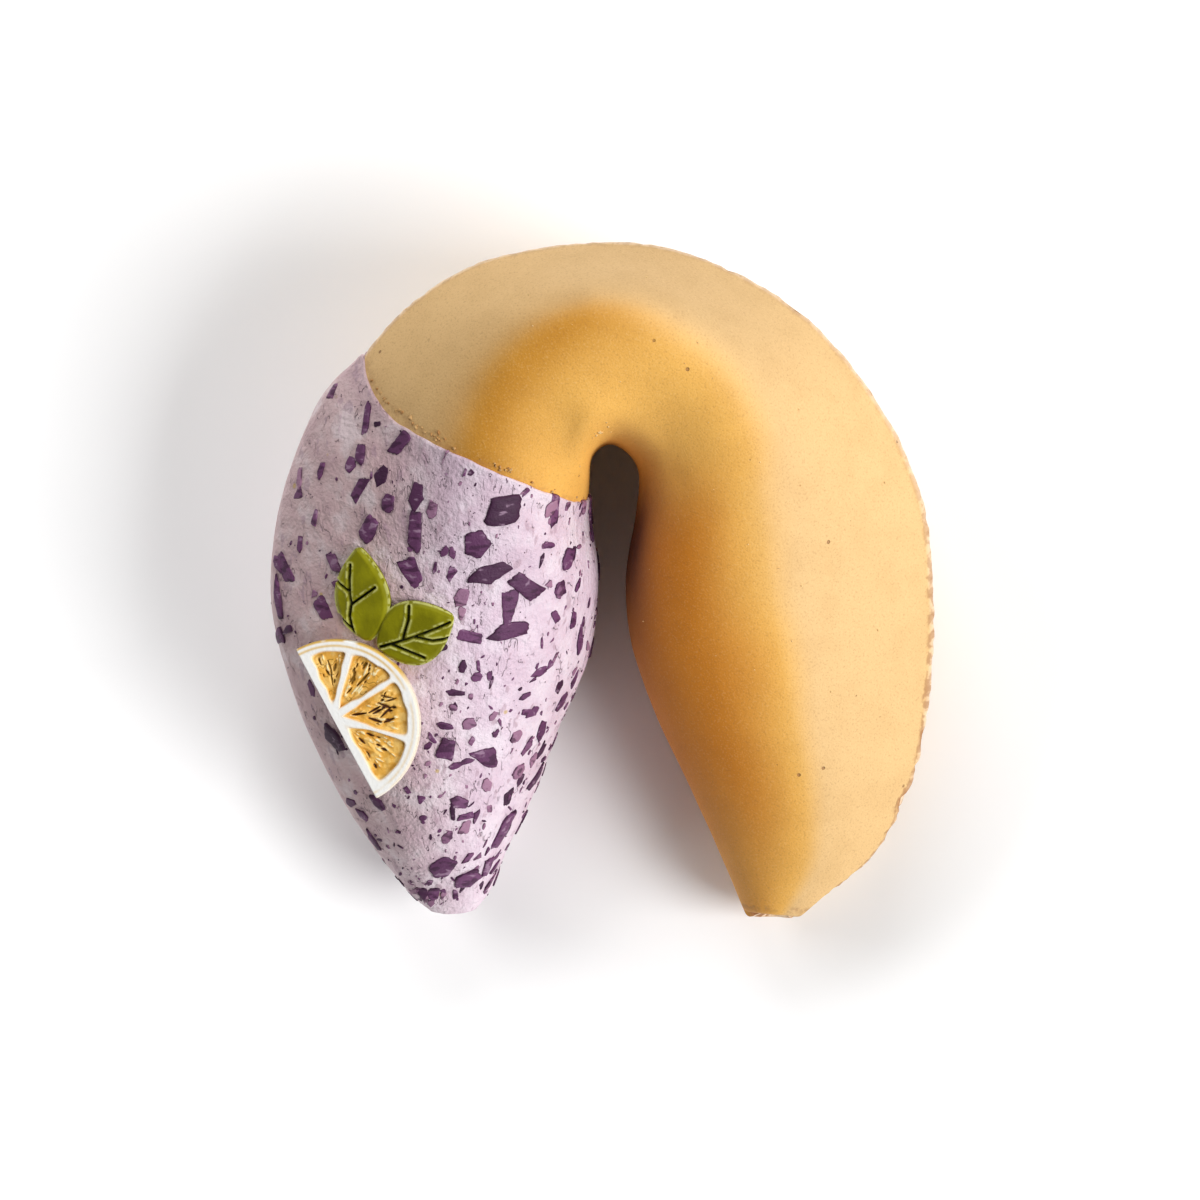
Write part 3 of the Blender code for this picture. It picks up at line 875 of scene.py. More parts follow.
@dataclass
class Wafer:
    """The folded sheet, open along its rims and at the bare tip."""

    form: CookieForm
    pitch_rows: int = 300
    front_steps: int = 68
    back_steps: int = 46
    rim_steps: int = 9
    rim_start: float = 0.985       # turn at which the skin gives way to the cut rim
    bevel: float = 0.52            # how far the skin stops short of the cut rim's foot
    bevel_top: float = 0.16        # the same beyond the bare horn
    tip_start: float = 0.09        # stations over which a tip is rounded
    tip_reach: float = 0.55        # how far the foot of the bare tip stands ahead
    wave: float = 0.10             # unevenness of the skin
    chip: float = 0.50             # deepest chip in the rim of the bare horn
    finish: BakedWafer = BakedWafer()

    def rows(self) -> tuple[Array, Array]:
        """Stations of the rows, and how open the section is at each.

        Over the last stations of a tip the section's thickness shrinks along a quarter
        circle, and at the end face it shrinks on to nearly nothing.

        Returns:
            Stations, and shares of the wall's thickness.
        """
        quarter = np.linspace(0, math.pi / 2, 6)
        near = self.tip_start * (1 - np.sin(quarter))
        keep = 1 - 0.42 * (1 - np.cos(quarter))
        face = np.array([0.42, 0.26, 0.10])
        tip = np.concatenate([np.zeros(3), near[::-1]])
        open_share = np.concatenate([face[::-1], keep[::-1]])
        middle = np.linspace(self.tip_start, self.form.last - self.tip_start, self.pitch_rows)[1:-1]
        stations = np.concatenate([tip, middle, self.form.last - tip[::-1]])
        return stations, np.concatenate([open_share, np.ones(len(middle)), open_share[::-1]])

    def loop(self) -> tuple[Array, Array, Array]:
        """One turn round a section: outer skin, front rim, inner skin, back rim.

        Returns:
            Turn, share of the wall under the skin, and 1 on the rims or 0.
        """
        ahead = np.concatenate([np.linspace(-self.rim_start, 0, self.back_steps),
                                np.linspace(0, 0.955, self.front_steps)[1:],
                                np.linspace(0.955, self.rim_start, 8)[1:]])
        down = (1 - np.cos(np.linspace(0.12, 0.88, self.rim_steps) * math.pi)) / 2
        rim, none = np.ones(self.rim_steps), np.zeros(len(ahead))
        turn = np.concatenate([ahead, rim, ahead[::-1], -rim])
        under = np.concatenate([none, down, none + 1, down[::-1]])
        return turn, under, np.concatenate([none, rim, none, rim])

    def bites(self, station: Array, skin: Array) -> Array:
        """Depth of the chips in the rim from 0 to 1, deepest near the bare tip."""
        crumbly = 0.30 + 0.70 * ease(station, 4.6, 1.8)
        bites = np.maximum(cloud(skin, 1.1, 11) - 0.22, 0) * 1.6
        nibbles = np.maximum(cloud(skin, 0.45, 12) - 0.05, 0) * 0.8
        return crumbly * (bites + nibbles) * ease(station, 10.5, 9.5)

    def setback(self, station: Array, turn: Array, under: Array, bites: Array) -> Array:
        """How far a point stands back from the rim's outline.

        At the skin it is the bevel and the chips, eased in over the last tenth of the lip, and
        down the cut face it runs out to nothing.

        Args:
            station: Places along the fold.
            turn: Places round the section.
            under: Shares of the wall under the skin.
            bites: Depth of the chips.

        Returns:
            Distances towards the fold.
        """
        bevel = mix(self.bevel, self.bevel_top, ease(station, 5.6, 7.6)) * ease(station, 10.6, 9.8)
        bevel = bevel * np.where(turn > 0, 1.0, 0.5)
        near = ease(np.abs(turn), 0.90, 0.985)
        return near * (bevel + self.chip * bites) * (1 - under) ** 1.2 + 0.10 * near * under ** 6

    def shape(self) -> Shape:
        """Work out the sheet.

        Each point is the skin's point, moved down its normal by the share of the wall, back
        from the rim by the setback, and up or down by soft noise. The tip is drawn ahead.

        Returns:
            The closed surface with its marks.
        """
        stations, open_share = self.rows()
        turns, under, rim = self.loop()
        station, turn = np.meshgrid(stations, turns, indexing="ij")
        under = np.broadcast_to(under, station.shape)
        depth = self.form.wall * (0.5 + (under - 0.5) * open_share[:, None])
        skin = self.form.skin(station, turn)
        normal, rimward = self.form.frame(station, turn)
        end = ease(open_share, 0.99, 0.5)[:, None] * np.ones_like(turn)
        cut = np.maximum(rim * np.ones_like(turn), end)
        lift = self.wave * (0.8 * cloud(skin, 7.0, 1) + 0.25 * cloud(skin, 1.8, 2))
        bites = self.bites(station, skin)
        back = self.setback(station, turn, under, bites)
        ahead = unit(self.form.skin(0 * station, turn) - self.form.skin(0 * station + 0.3, turn))
        ahead[..., 2] = 0
        low = np.where(turn < 0, 1.0, under)
        reach = self.tip_reach * ease(station, 0.45, 0.0) * (0.1 + 0.9 * low)
        points = (skin + (lift * (skin[..., 2] > 0.3) - depth)[..., None] * normal - back[..., None] * rimward
                  + reach[..., None] * ahead)
        jitter = np.stack([cloud(points, 0.5, seed) for seed in (21, 22, 23)], axis=-1)
        points = points + 0.07 * cut[..., None] * jitter
        points[..., 2] = np.maximum(points[..., 2], 0.0)
        rows, columns = station.shape
        quads = [grid_quads(rows, columns, closed=True)]
        triangles = []
        skin_steps = len(turns) // 2 - self.rim_steps
        outer = np.arange(skin_steps)
        inner = 2 * skin_steps + self.rim_steps - 1 - outer
        front = np.arange(skin_steps - 1, skin_steps + self.rim_steps + 1)
        back_rim = np.concatenate([np.arange(2 * skin_steps + self.rim_steps - 1, columns), [0]])
        for first, flip in ((0, 1), ((rows - 1) * columns, -1)):
            strip = np.stack([outer[:-1], inner[:-1], inner[1:], outer[1:]], axis=-1) + first
            quads.append(strip[:, ::flip])
            for edge in (front, back_rim):
                fans = np.stack([np.full(len(edge) - 2, edge[0]), edge[2:], edge[1:-1]], axis=-1)
                triangles.append((fans + first)[:, ::flip])
        marks = self.tones(station, turn, points)
        marks["cut"] = cut
        marks["nick"] = ease(bites, 0.10, 0.40) * ease(under, 0.75, 0.25)
        edge_line = ease(np.abs(turn), 0.979, 0.985) * ease(under, 0.13, 0.03)
        edge_line = edge_line * mix(1.0, 0.35, ease(station, 3.5, 6.0))
        end_line = bump(station, 0.13, 0.035) * (turn > 0) * ease(under, 0.2, 0.0)
        # painted shadow: a thin dark line on the wafer along the icing's edge
        icing_edge_shadow = 0.55 * bump(station - self.form.dip(np.abs(turn)), -0.02, 0.045) * (turn > 0)
        marks["line"] = np.maximum(np.maximum(edge_line, end_line), icing_edge_shadow)
        return Shape(points, np.concatenate(quads), np.concatenate(triangles), marks)

    def tones(self, station: Array, turn: Array, points: Array) -> dict[str, Array]:
        """Where the sheet is coloured by the bake, and where shade is painted on it.

        It is honey along the ridge and round the notch. Painted shade makes it a deeper orange on
        the bare horn's inner flank, near black in the fold, and grey on the brow and under the
        icing, and it adds to the browning on the ridge beside the icing.

        Args:
            station: Places along the fold.
            turn: Places round the section.
            points: The sheet's points.

        Returns:
            Marks from 0 to 1.
        """
        lip = np.abs(turn) + 0.03 * cloud(points, 6.0, 31)
        # painted shade: a deeper orange on the bare horn's inner flank
        golden = ((1 - ease(lip, 0.30, 0.54)) * ease(station, 6.8, 5.0)
                  * mix(0.45, 1.0, ease(station, 0.4, 2.6)))
        honey = 1 - ease(lip, 0.46, 0.66)
        # baked browning and painted shade on the ridge beside the icing
        ridge = bump(lip, 0.51, 0.13) * ease(station, 7.4, 8.8)
        # painted shade, near black, in the fold
        fold_shade = ease(lip, 0.26, 0.10) * bump(station, 5.4, 1.6)
        # painted shade on the brow, and on the next line under the icing
        painted_shade = bump(station, 7.5, 1.1) * ease(lip, 0.55, 0.72) * 0.62
        painted_shade = np.maximum(painted_shade, ease(station, 10.5, 11.2) * 0.55)
        return {"golden": golden, "honey": honey, "ridge": ridge * 0.95, "fold_shade": fold_shade, "painted_shade": painted_shade}

    def build(self) -> bpy.types.Object:
        """Make the piece.

        Returns:
            The wafer.
        """
        return self.shape().make("wafer", self.finish.material(), Slot.WAFER, ("cookie_wafer",))


@dataclass
class IcingCoat:
    """The icing round one horn: a sock over the lips, the mouth between them and the tip."""

    form: CookieForm
    front_steps: int = 96
    seam_steps: int = 14
    back_steps: int = 70
    nose_rows: int = 7
    body_rows: int = 170
    cap_rows: int = 12
    lining_rows: int = 16
    nose: float = 0.22             # width of the rounded edge where the coat ends
    thin: float = 0.20             # height of the coat just behind that edge
    thicken_over: float = 6.0      # distance over which it gets its full height
    seam_reach: float = 1.35       # handle of the arc over the mouth
    cap_depth: float = 1.75
    cap_end: float = 0.54          # size of the blunt end against the last ring
    wave: float = 0.10
    tint_drift: float = 2.1        # how far the edge between the lit colour and the painted shade wanders
    finish: LavenderIcing = LavenderIcing()

    def __post_init__(self) -> None:
        """Work out the outer grid, which other pieces are laid on."""
        self.lips = np.concatenate([np.linspace(0, 1, self.front_steps),
                                    np.linspace(-1, 0, self.back_steps)[:-1]])
        self.outer = self.outer_rows()
        rows = self.outer.shape[0]
        along = np.gradient(self.outer, axis=0)
        wrapped = np.concatenate([self.outer[:, -1:], self.outer, self.outer[:, :1]], axis=1)
        around = (wrapped[:, 2:] - wrapped[:, :-2]) / 2
        self.outward = unit(np.cross(around, along))
        self.along, self.around = along, around
        log.debug("coat grid has %d rows", rows)

    def ring(self, station: Array, height: Array, reach: Array) -> Array:
        """Rings of points round the horn.

        On the lips a point is the skin's point and its height along the normal. Over the mouth
        it is a cubic Bezier arc from the front rim to the back rim, which leaves each lip in
        the lip's own direction with a handle of the given reach.

        Args:
            station: Stations of the lips' points, one row a ring.
            height: Heights over the skin, as station.
            reach: Handle of the arc, one a ring.

        Returns:
            Points, one row a ring, closed.
        """
        lips = np.broadcast_to(self.lips, station.shape)
        points = self.form.over(station, lips, height)
        front, back = self.front_steps - 1, self.front_steps
        rimward = self.form.frame(station, lips)[1]
        handle = np.asarray(reach)[:, None]
        arc = (points[:, front], points[:, front] + handle * rimward[:, front],
               points[:, back] + handle * rimward[:, back], points[:, back])
        share = np.linspace(0, 1, self.seam_steps + 2)[1:-1]
        seam = np.stack([bezier(arc, step) for step in share], axis=1)
        return np.concatenate([points[:, :back], seam, points[:, back:]], axis=1)

    def cap(self, ring: Array, before: Array, depth: float, rows: int) -> Array:
        """Close the last ring with a blunt cone.

        The cone's rings shrink as a power of the way ahead, and its end shrinks to nearly a
        point along a quarter circle.

        Args:
            ring: The last ring.
            before: The ring before it.
            depth: Length of the cone.
            rows: Number of its rings.

        Returns:
            The rings after the last one.
        """
        ahead = (ring - before).mean(axis=0)
        ahead[2] = 0
        ahead = unit(ahead)
        centre = ring.mean(axis=0)
        way = np.linspace(0, 1, rows + 1)[1:]
        angle = np.linspace(0, math.pi / 2, 7)[1:]
        end = self.cap_end * np.maximum(np.cos(angle), 0.03) ** 0.8
        size = np.concatenate([1 - (1 - self.cap_end) * way ** 1.3, end])[:, None, None]
        reach = np.concatenate([depth * way, depth + 0.25 * np.sin(angle)])[:, None, None]
        return centre + (ring - centre) * size + ahead * reach

    def outer_rows(self) -> Array:
        """The outside, from the edge of the coat to the tip.

        Behind the edge the height is that of a quarter circle on a thin coat, which thickens
        over some millimetres. Soft noise makes it uneven.

        Returns:
            Points by ring and place round it.
        """
        edge = self.form.dip(self.lips)
        start = self.form.skin(edge, self.lips)
        edge = edge + 0.02 * cloud(start, 1.3, 41) + 0.03 * cloud(start, 3.5, 42) + 0.04 * self.lips ** 2
        pace = np.linalg.norm(self.form.skin(edge + 0.5, self.lips) - start, axis=-1) / 0.5
        angle = np.linspace(0, math.pi / 2, self.nose_rows)[:, None]
        near = edge + self.nose * (1 - np.cos(angle)) / pace
        share = np.linspace(0, 1, self.body_rows)[1:, None]
        station = np.concatenate([near, mix(near[-1], self.form.last, share)])
        away = (station - edge) * pace
        full = mix(self.thin, self.form.coat, ease(away, 0, self.thicken_over))
        nose = np.sqrt(1 - (1 - np.clip(away / self.nose, 0, 1)) ** 2)
        place = self.form.skin(station, np.broadcast_to(self.lips, station.shape))
        wave = self.wave * (cloud(place, 5.0, 43) + 0.5 * cloud(place, 1.7, 44)
                            + 0.22 * cloud(place, 0.8, 45))
        wave = wave - 0.6 * self.wave
        lifted = np.where(place[..., 2] > 0.9 * self.form.coat + 0.3, wave, 0) * ease(away, 0.2, 2.0)
        reach = mix(0.5, self.seam_reach, nose.mean(axis=1) * ease(away.mean(axis=1), 0, 2.0))
        rings = self.ring(station, full * nose + lifted, reach)
        rings = np.concatenate([rings, self.cap(rings[-1], rings[-2], self.cap_depth, self.cap_rows)])
        rings[..., 2] = np.maximum(rings[..., 2], 0.0)
        return rings

    def lining(self) -> Array:
        """The inside, from the tip back to the edge; it lies on the skin and closes the mouth."""
        share = np.linspace(1, 0, self.lining_rows)[:, None]
        station = mix(self.form.dip(self.lips), self.form.last, share)
        rings = self.ring(station, np.full(station.shape, -0.04), np.full(len(share), 0.5))
        cap = self.cap(rings[0], rings[1], self.cap_depth - self.form.icing, 4)
        return np.concatenate([cap[::-1], rings])

    def build(self) -> bpy.types.Object:
        """Make the piece.

        Returns:
            The icing.
        """
        lining = self.lining()
        outer = self.outer[::-1]
        pole_out, pole_in = self.outer[-1].mean(axis=0), lining[0].mean(axis=0)
        grid = np.concatenate([lining, outer])
        rows, columns = grid.shape[:2]
        points = np.vstack([grid.reshape(-1, 3), pole_in, pole_out])
        first, last = np.arange(columns), np.arange(columns) + (rows - 1) * columns
        triangles = np.concatenate([fan(first, rows * columns)[:, ::-1], fan(last, rows * columns + 1)])
        # painted light and shade: lit colour towards the inner side, shaded copy outside, and a painted-shade
        # patch near the upper edge
        lit_side = points[:, 0] + self.tint_drift * cloud(points, 9.0, 46)
        marks = {"lit_lilac": ease(lit_side, -19.5, -9.5),
                 "painted_shade": bump(np.hypot(points[:, 0] + 13.0, points[:, 1] - 6.5), 0.0, 6.5)}
        shape = Shape(points, grid_quads(rows, columns, closed=True), triangles, marks)
        return shape.make("icing", self.finish.material(), Slot.ICING, ("icing_dip",))

    def sample(self, row: Array, column: Array, height: Array | float) -> Array:
        """Points over the outside, read between the grid's points.

        Args:
            row: Rows, as real numbers.
            column: Columns, as real numbers; they wrap round.
            height: Height over the outside.

        Returns:
            Points in millimetres.
        """
        rows, columns = self.outer.shape[:2]
        row = np.clip(row, 0, rows - 1.001)
        first_row, first_column = np.floor(row).astype(int), np.floor(column).astype(int)
        by_row, by_column = (row - first_row)[..., None], (column - first_column)[..., None]
        near, far = first_column % columns, (first_column + 1) % columns

        def read(grid: Array) -> Array:
            """Blend the four nearest points of a grid."""
            low = mix(grid[first_row, near], grid[first_row, far], by_column)
            high = mix(grid[first_row + 1, near], grid[first_row + 1, far], by_column)
            return mix(low, high, by_row)

        return read(self.outer) + np.asarray(height)[..., None] * unit(read(self.outward))

    def nearest(self, x: Array, y: Array) -> tuple[Array, Array]:
        """Grid places on top of the coat that stand nearest to points in plan.

        Args:
            x: Wanted x.
            y: Wanted y.

        Returns:
            Rows and columns.
        """
        top = self.outer[:, :self.front_steps]
        miss = ((top[..., 0] - x[:, None, None]) ** 2 + (top[..., 1] - y[:, None, None]) ** 2)
        flat = miss.reshape(len(x), -1).argmin(axis=1)
        return flat // self.front_steps, flat % self.front_steps


@dataclass
class Flakes:
    """Angular flakes sunk in the icing, as one joined mesh.

    The large ones have set places, and the rest are scattered.
    """

    coat: IcingCoat
    samples: int = 26
    scattered: int = 1300
    seed: int = 7
    sunk: float = 0.25
    finish: PlumFlake = PlumFlake()
    # x, y, length, width, turn in degrees, sides, shade from dark 0 to veiled 1
    placed: tuple = (
        (-7.4, 5.4, 3.2, 2.6, -3, 4, 0.10), (-9.9, 2.8, 2.4, 2.2, 40, 5, 0.30),
        (-8.5, 0.6, 3.6, 1.6, 20, 5, 0.15), (-5.9, -0.4, 3.8, 1.6, -40, 4, 0.25),
        (-7.3, -2.0, 3.0, 1.3, 82, 3, 0.35), (-7.3, -3.9, 3.6, 1.5, 4, 5, 0.30),
        (-14.7, 0.7, 2.8, 1.8, -60, 4, 0.45), (-14.2, 6.4, 2.4, 1.2, 84, 5, 0.20),
        (-13.1, 5.4, 1.5, 0.9, 80, 5, 0.78), (-14.4, 3.9, 3.2, 1.1, 84, 4, 0.30),
        (-16.6, 6.0, 1.7, 1.2, 70, 6, 0.30), (-18.1, 4.0, 2.6, 1.4, 70, 5, 0.35),
        (-18.7, 7.1, 2.5, 1.1, 55, 4, 0.35), (-16.9, 8.1, 1.8, 1.3, 55, 5, 0.10),
        (-19.4, 8.8, 1.4, 0.9, 80, 5, 0.50), (-18.5, 9.7, 1.9, 0.9, 85, 5, 0.30),
        (-18.2, 12.2, 2.8, 0.6, 78, 4, 0.35), (-15.6, 10.6, 2.4, 1.2, 48, 4, 0.30),
        (-21.1, 14.8, 1.6, 0.7, 60, 4, 0.70), (-2.8, 1.6, 2.2, 1.4, 60, 5, 0.40),
        (-4.2, 2.8, 1.4, 0.6, -8, 6, 0.40), (-10.8, -1.2, 1.8, 1.3, 60, 5, 0.78),
        (-3.4, -0.7, 1.6, 1.2, -60, 5, 0.35), (-24.7, 1.0, 2.9, 1.2, -60, 4, 0.50),
        (-25.2, -1.4, 3.6, 0.9, -80, 5, 0.50), (-23.5, 2.7, 1.7, 0.7, 85, 5, 0.55),
        (-21.5, -2.2, 2.1, 1.3, -60, 4, 0.45), (-10.3, -4.2, 2.1, 1.0, -25, 4, 0.55),
        (-1.9, -4.5, 2.7, 1.0, 82, 5, 0.35), (-2.3, -3.0, 1.4, 0.8, 80, 4, 0.40),
        (-3.6, -2.9, 1.3, 0.8, -70, 4, 0.45), (-1.1, 4.7, 3.7, 0.9, 76, 4, 0.25),
        (-4.0, 5.6, 1.9, 1.2, 30, 5, 0.88), (-3.2, -9.4, 2.0, 1.3, 75, 6, 0.30),
        (-4.8, -11.7, 1.9, 1.4, 65, 5, 0.30), (-4.8, -7.1, 1.6, 0.8, 6, 5, 0.50),
        (-6.8, -12.0, 1.5, 1.1, 20, 6, 0.82), (-10.5, -11.1, 1.4, 1.0, 10, 6, 0.76),
        (-12.2, -11.3, 1.4, 0.6, -10, 5, 0.30), (-11.4, -8.7, 1.7, 0.6, -6, 5, 0.20),
        (-9.8, -7.4, 1.2, 0.8, 30, 6, 0.55), (-12.1, -13.0, 2.0, 1.4, 75, 4, 0.35),
        (-9.0, -13.5, 2.6, 1.4, -30, 3, 0.35), (-6.7, -14.9, 1.6, 1.2, 20, 6, 0.80),
        (-5.3, -15.5, 2.9, 1.1, 55, 4, 0.20), (-7.4, -17.0, 1.7, 1.0, 80, 4, 0.10),
        (-11.1, -17.2, 1.6, 1.2, -30, 5, 0.60), (-10.6, -18.4, 1.8, 0.7, 0, 4, 0.50),
        (-8.0, -19.8, 3.9, 1.5, 52, 4, 0.40), (-17.5, -17.4, 1.9, 1.0, -30, 6, 0.25),
        (-19.7, -17.3, 1.5, 0.9, 35, 5, 0.30), (-18.8, -18.4, 1.3, 1.0, -10, 5, 0.35),
        (-18.6, -20.9, 2.4, 0.9, -52, 5, 0.35), (-12.7, -22.4, 2.8, 2.2, 50, 5, 0.30),
        (-10.8, -23.4, 2.6, 2.1, 25, 5, 0.50), (-9.1, -22.4, 1.9, 1.2, 60, 4, 0.45),
        (-21.1, -12.2, 2.7, 1.7, -45, 5, 0.10),
        (-22.6, -5.6, 1.8, 0.8, -70, 5, 0.40), (-19.9, -0.6, 2.0, 1.2, -50, 4, 0.60),
        (-20.7, 1.4, 1.8, 0.9, -60, 4, 0.62), (-22.8, -8.2, 1.6, 0.8, -75, 5, 0.45),
        (-13.3, -4.9, 1.6, 0.8, -35, 4, 0.60), (-12.0, 2.2, 1.1, 0.6, 60, 5, 0.35),
        (-11.6, 0.4, 1.4, 0.7, 65, 4, 0.50), (-21.9, 8.6, 1.5, 0.6, 70, 5, 0.40),
        (-22.2, 5.0, 1.4, 0.5, 75, 4, 0.62), (-6.2, -8.9, 1.2, 0.6, 10, 5, 0.35),
        (-3.4, -12.7, 1.8, 0.8, 60, 5, 0.30), (-6.0, -10.3, 1.1, 0.6, -20, 4, 0.45),
        (-4.9, -13.4, 1.5, 0.8, 60, 5, 0.15), (-8.6, -10.4, 1.0, 0.6, 40, 5, 0.80))

    def sizes(self) -> dict[str, Array]:
        """Place, size, turn, sides and shade of every flake.

        The scattered ones get lengths from a steep power law, so that most are specks.

        Returns:
            One array for each value, by flake.
        """
        rng = np.random.default_rng(self.seed)
        table = np.array(self.placed)
        row, column = self.coat.nearest(table[:, 0], table[:, 1])
        count = self.scattered
        rows, columns = self.coat.outer.shape[:2]
        extra_row = rng.uniform(2, rows - 6, count)
        extra_column = rng.uniform(0, columns, count)
        length = 0.24 + 2.0 * rng.uniform(0, 1, count) ** 2.9
        width = length * rng.uniform(0.22, 0.80, count)
        place = self.coat.sample(extra_row, extra_column, 0.0)
        inner = ease(place[:, 0] - 0.25 * place[:, 1], -20.0, -4.0)
        thinned = mix(1.0, 0.6, ease(place[:, 1], -17.0, -22.0))
        keep = rng.uniform(0, 1, count) < (0.34 + 0.66 * inner) * thinned
        keep &= (place[:, 2] > 0.7) & (extra_row < len(self.coat.outer) - 12)
        over_top = extra_column < self.coat.front_steps * 0.93
        keep &= ~(over_top & (length > mix(0.75, 1.5, inner)))
        return {
            "row": np.concatenate([row, extra_row[keep]]),
            "column": np.concatenate([column, extra_column[keep]]),
            "length": np.concatenate([table[:, 2], length[keep]]),
            "width": np.concatenate([table[:, 3], width[keep]]),
            "turn": np.concatenate([np.radians(table[:, 4]), rng.normal(1.2, 0.6, keep.sum())]),
            "sides": np.concatenate([table[:, 5], rng.integers(3, 7, keep.sum())]),
            "shade": np.concatenate([table[:, 6], rng.uniform(0.05, 0.95, keep.sum())])}

    def outline(self, sides: Array, rng: np.random.Generator) -> Array:
        """Radii of uneven polygons at even angles.

        A polygon is what lies within all its sides: at each angle the radius is the least, over
        the sides, of the side's distance over the cosine of the angle to its normal.

        Args:
            sides: Number of sides of each flake.
            rng: Source of the unevenness.

        Returns:
            Radii by flake and angle.
        """
        most = 7
        number = np.arange(most)
        step = 2 * math.pi / sides[:, None]
        facing = number * step + rng.uniform(-0.22, 0.22, (len(sides), most)) * step
        away = rng.uniform(0.72, 1.0, (len(sides), most))
        away = np.where(number < sides[:, None], away, 9.0)
        angle = np.linspace(0, 2 * math.pi, self.samples, endpoint=False)
        toward = np.cos(angle[None, :, None] - facing[:, None, :])
        reach = np.where(toward > 0.05, away[:, None, :] / np.maximum(toward, 0.05), 9.0)
        radius = np.minimum(reach.min(axis=2), 1.35)
        return radius * rng.uniform(0.93, 1.06, radius.shape)

    def shape(self) -> Shape:
        """Lay every flake on the coat.

        A flake is a fan of rings: its top is nearly flush, its side drops into the icing. In
        plan its rings are the outline stretched to its length and width and turned; the two by
        two system of the coat's slopes turns that plan into grid places.

        Returns:
            The joined closed surfaces.
        """
        flakes = self.sizes()
        rng = np.random.default_rng(self.seed + 1)
        count = len(flakes["row"])
        radius = self.outline(flakes["sides"], rng)
        angle = np.linspace(0, 2 * math.pi, self.samples, endpoint=False)
        rings = np.array([0.5, 0.86, 0.97, 1.0, 0.9])
        proud = np.minimum(0.05 + 0.05 * flakes["length"], 0.18) * rng.uniform(0.3, 1.4, count)
        heights = np.stack([proud, proud * 0.95, proud * 0.7, -0.03 * np.ones(count),
                            -self.sunk * np.ones(count)], axis=1)
        x = rings[None, :, None] * (radius * np.cos(angle))[:, None, :] * flakes["length"][:, None, None] / 2
        y = rings[None, :, None] * (radius * np.sin(angle))[:, None, :] * flakes["width"][:, None, None] / 2
        cos, sin = np.cos(flakes["turn"])[:, None, None], np.sin(flakes["turn"])[:, None, None]
        east, north = cos * x - sin * y, sin * x + cos * y
        tilt = rng.uniform(-0.05, 0.05, (2, count, 1, 1))
        height = heights[:, :, None] + (tilt[0] * east + tilt[1] * north) * (rings[None, :, None] < 0.98)

        first = np.round(flakes["row"]).astype(int).clip(0, self.coat.outer.shape[0] - 2)
        second = np.round(flakes["column"]).astype(int) % self.coat.outer.shape[1]
        by_row, by_column = self.coat.along[first, second], self.coat.around[first, second]
        out = self.coat.outward[first, second]
        level = np.abs(out[:, 2:3]) > 0.35
        ahead = np.where(level, np.array([[1.0, 0.0, 0.0]]), np.array([[0.0, 0.0, 1.0]]))
        ahead = unit(ahead - (ahead * out).sum(axis=1, keepdims=True) * out)
        aside = np.cross(out, ahead)
        a = (by_row * ahead).sum(axis=1)
        b = (by_column * ahead).sum(axis=1)
        c = (by_row * aside).sum(axis=1)
        d = (by_column * aside).sum(axis=1)
        det = (a * d - b * c)[:, None, None]
        a, b, c, d = (value[:, None, None] for value in (a, b, c, d))
        row = flakes["row"][:, None, None] + (d * east - b * north) / det
        column = flakes["column"][:, None, None] + (a * north - c * east) / det
        points = self.coat.sample(row, column, height)
        top = self.coat.sample(flakes["row"], flakes["column"], proud)
        base = self.coat.sample(flakes["row"], flakes["column"], np.full(count, -self.sunk))

        quads, triangles = ring_stacks(count, len(rings), self.samples)
        everything = np.vstack([points.reshape(-1, 3), top, base])
        each = len(rings) * self.samples
        shade = np.concatenate([np.repeat(flakes["shade"], each), flakes["shade"], flakes["shade"]])
        by_ring = np.broadcast_to(ease(rings, 0.85, 1.0)[None, :, None], points.shape[:3])
        edge = np.concatenate([by_ring.ravel(), np.zeros(2 * count)])
        return Shape(everything, quads, triangles, {"shade": shade, "edge": edge})

    def build(self) -> bpy.types.Object:
        """Make the piece.

        Returns:
            The flakes.
        """
        return self.shape().make("icing_flakes", self.finish.material(), Slot.ICING)


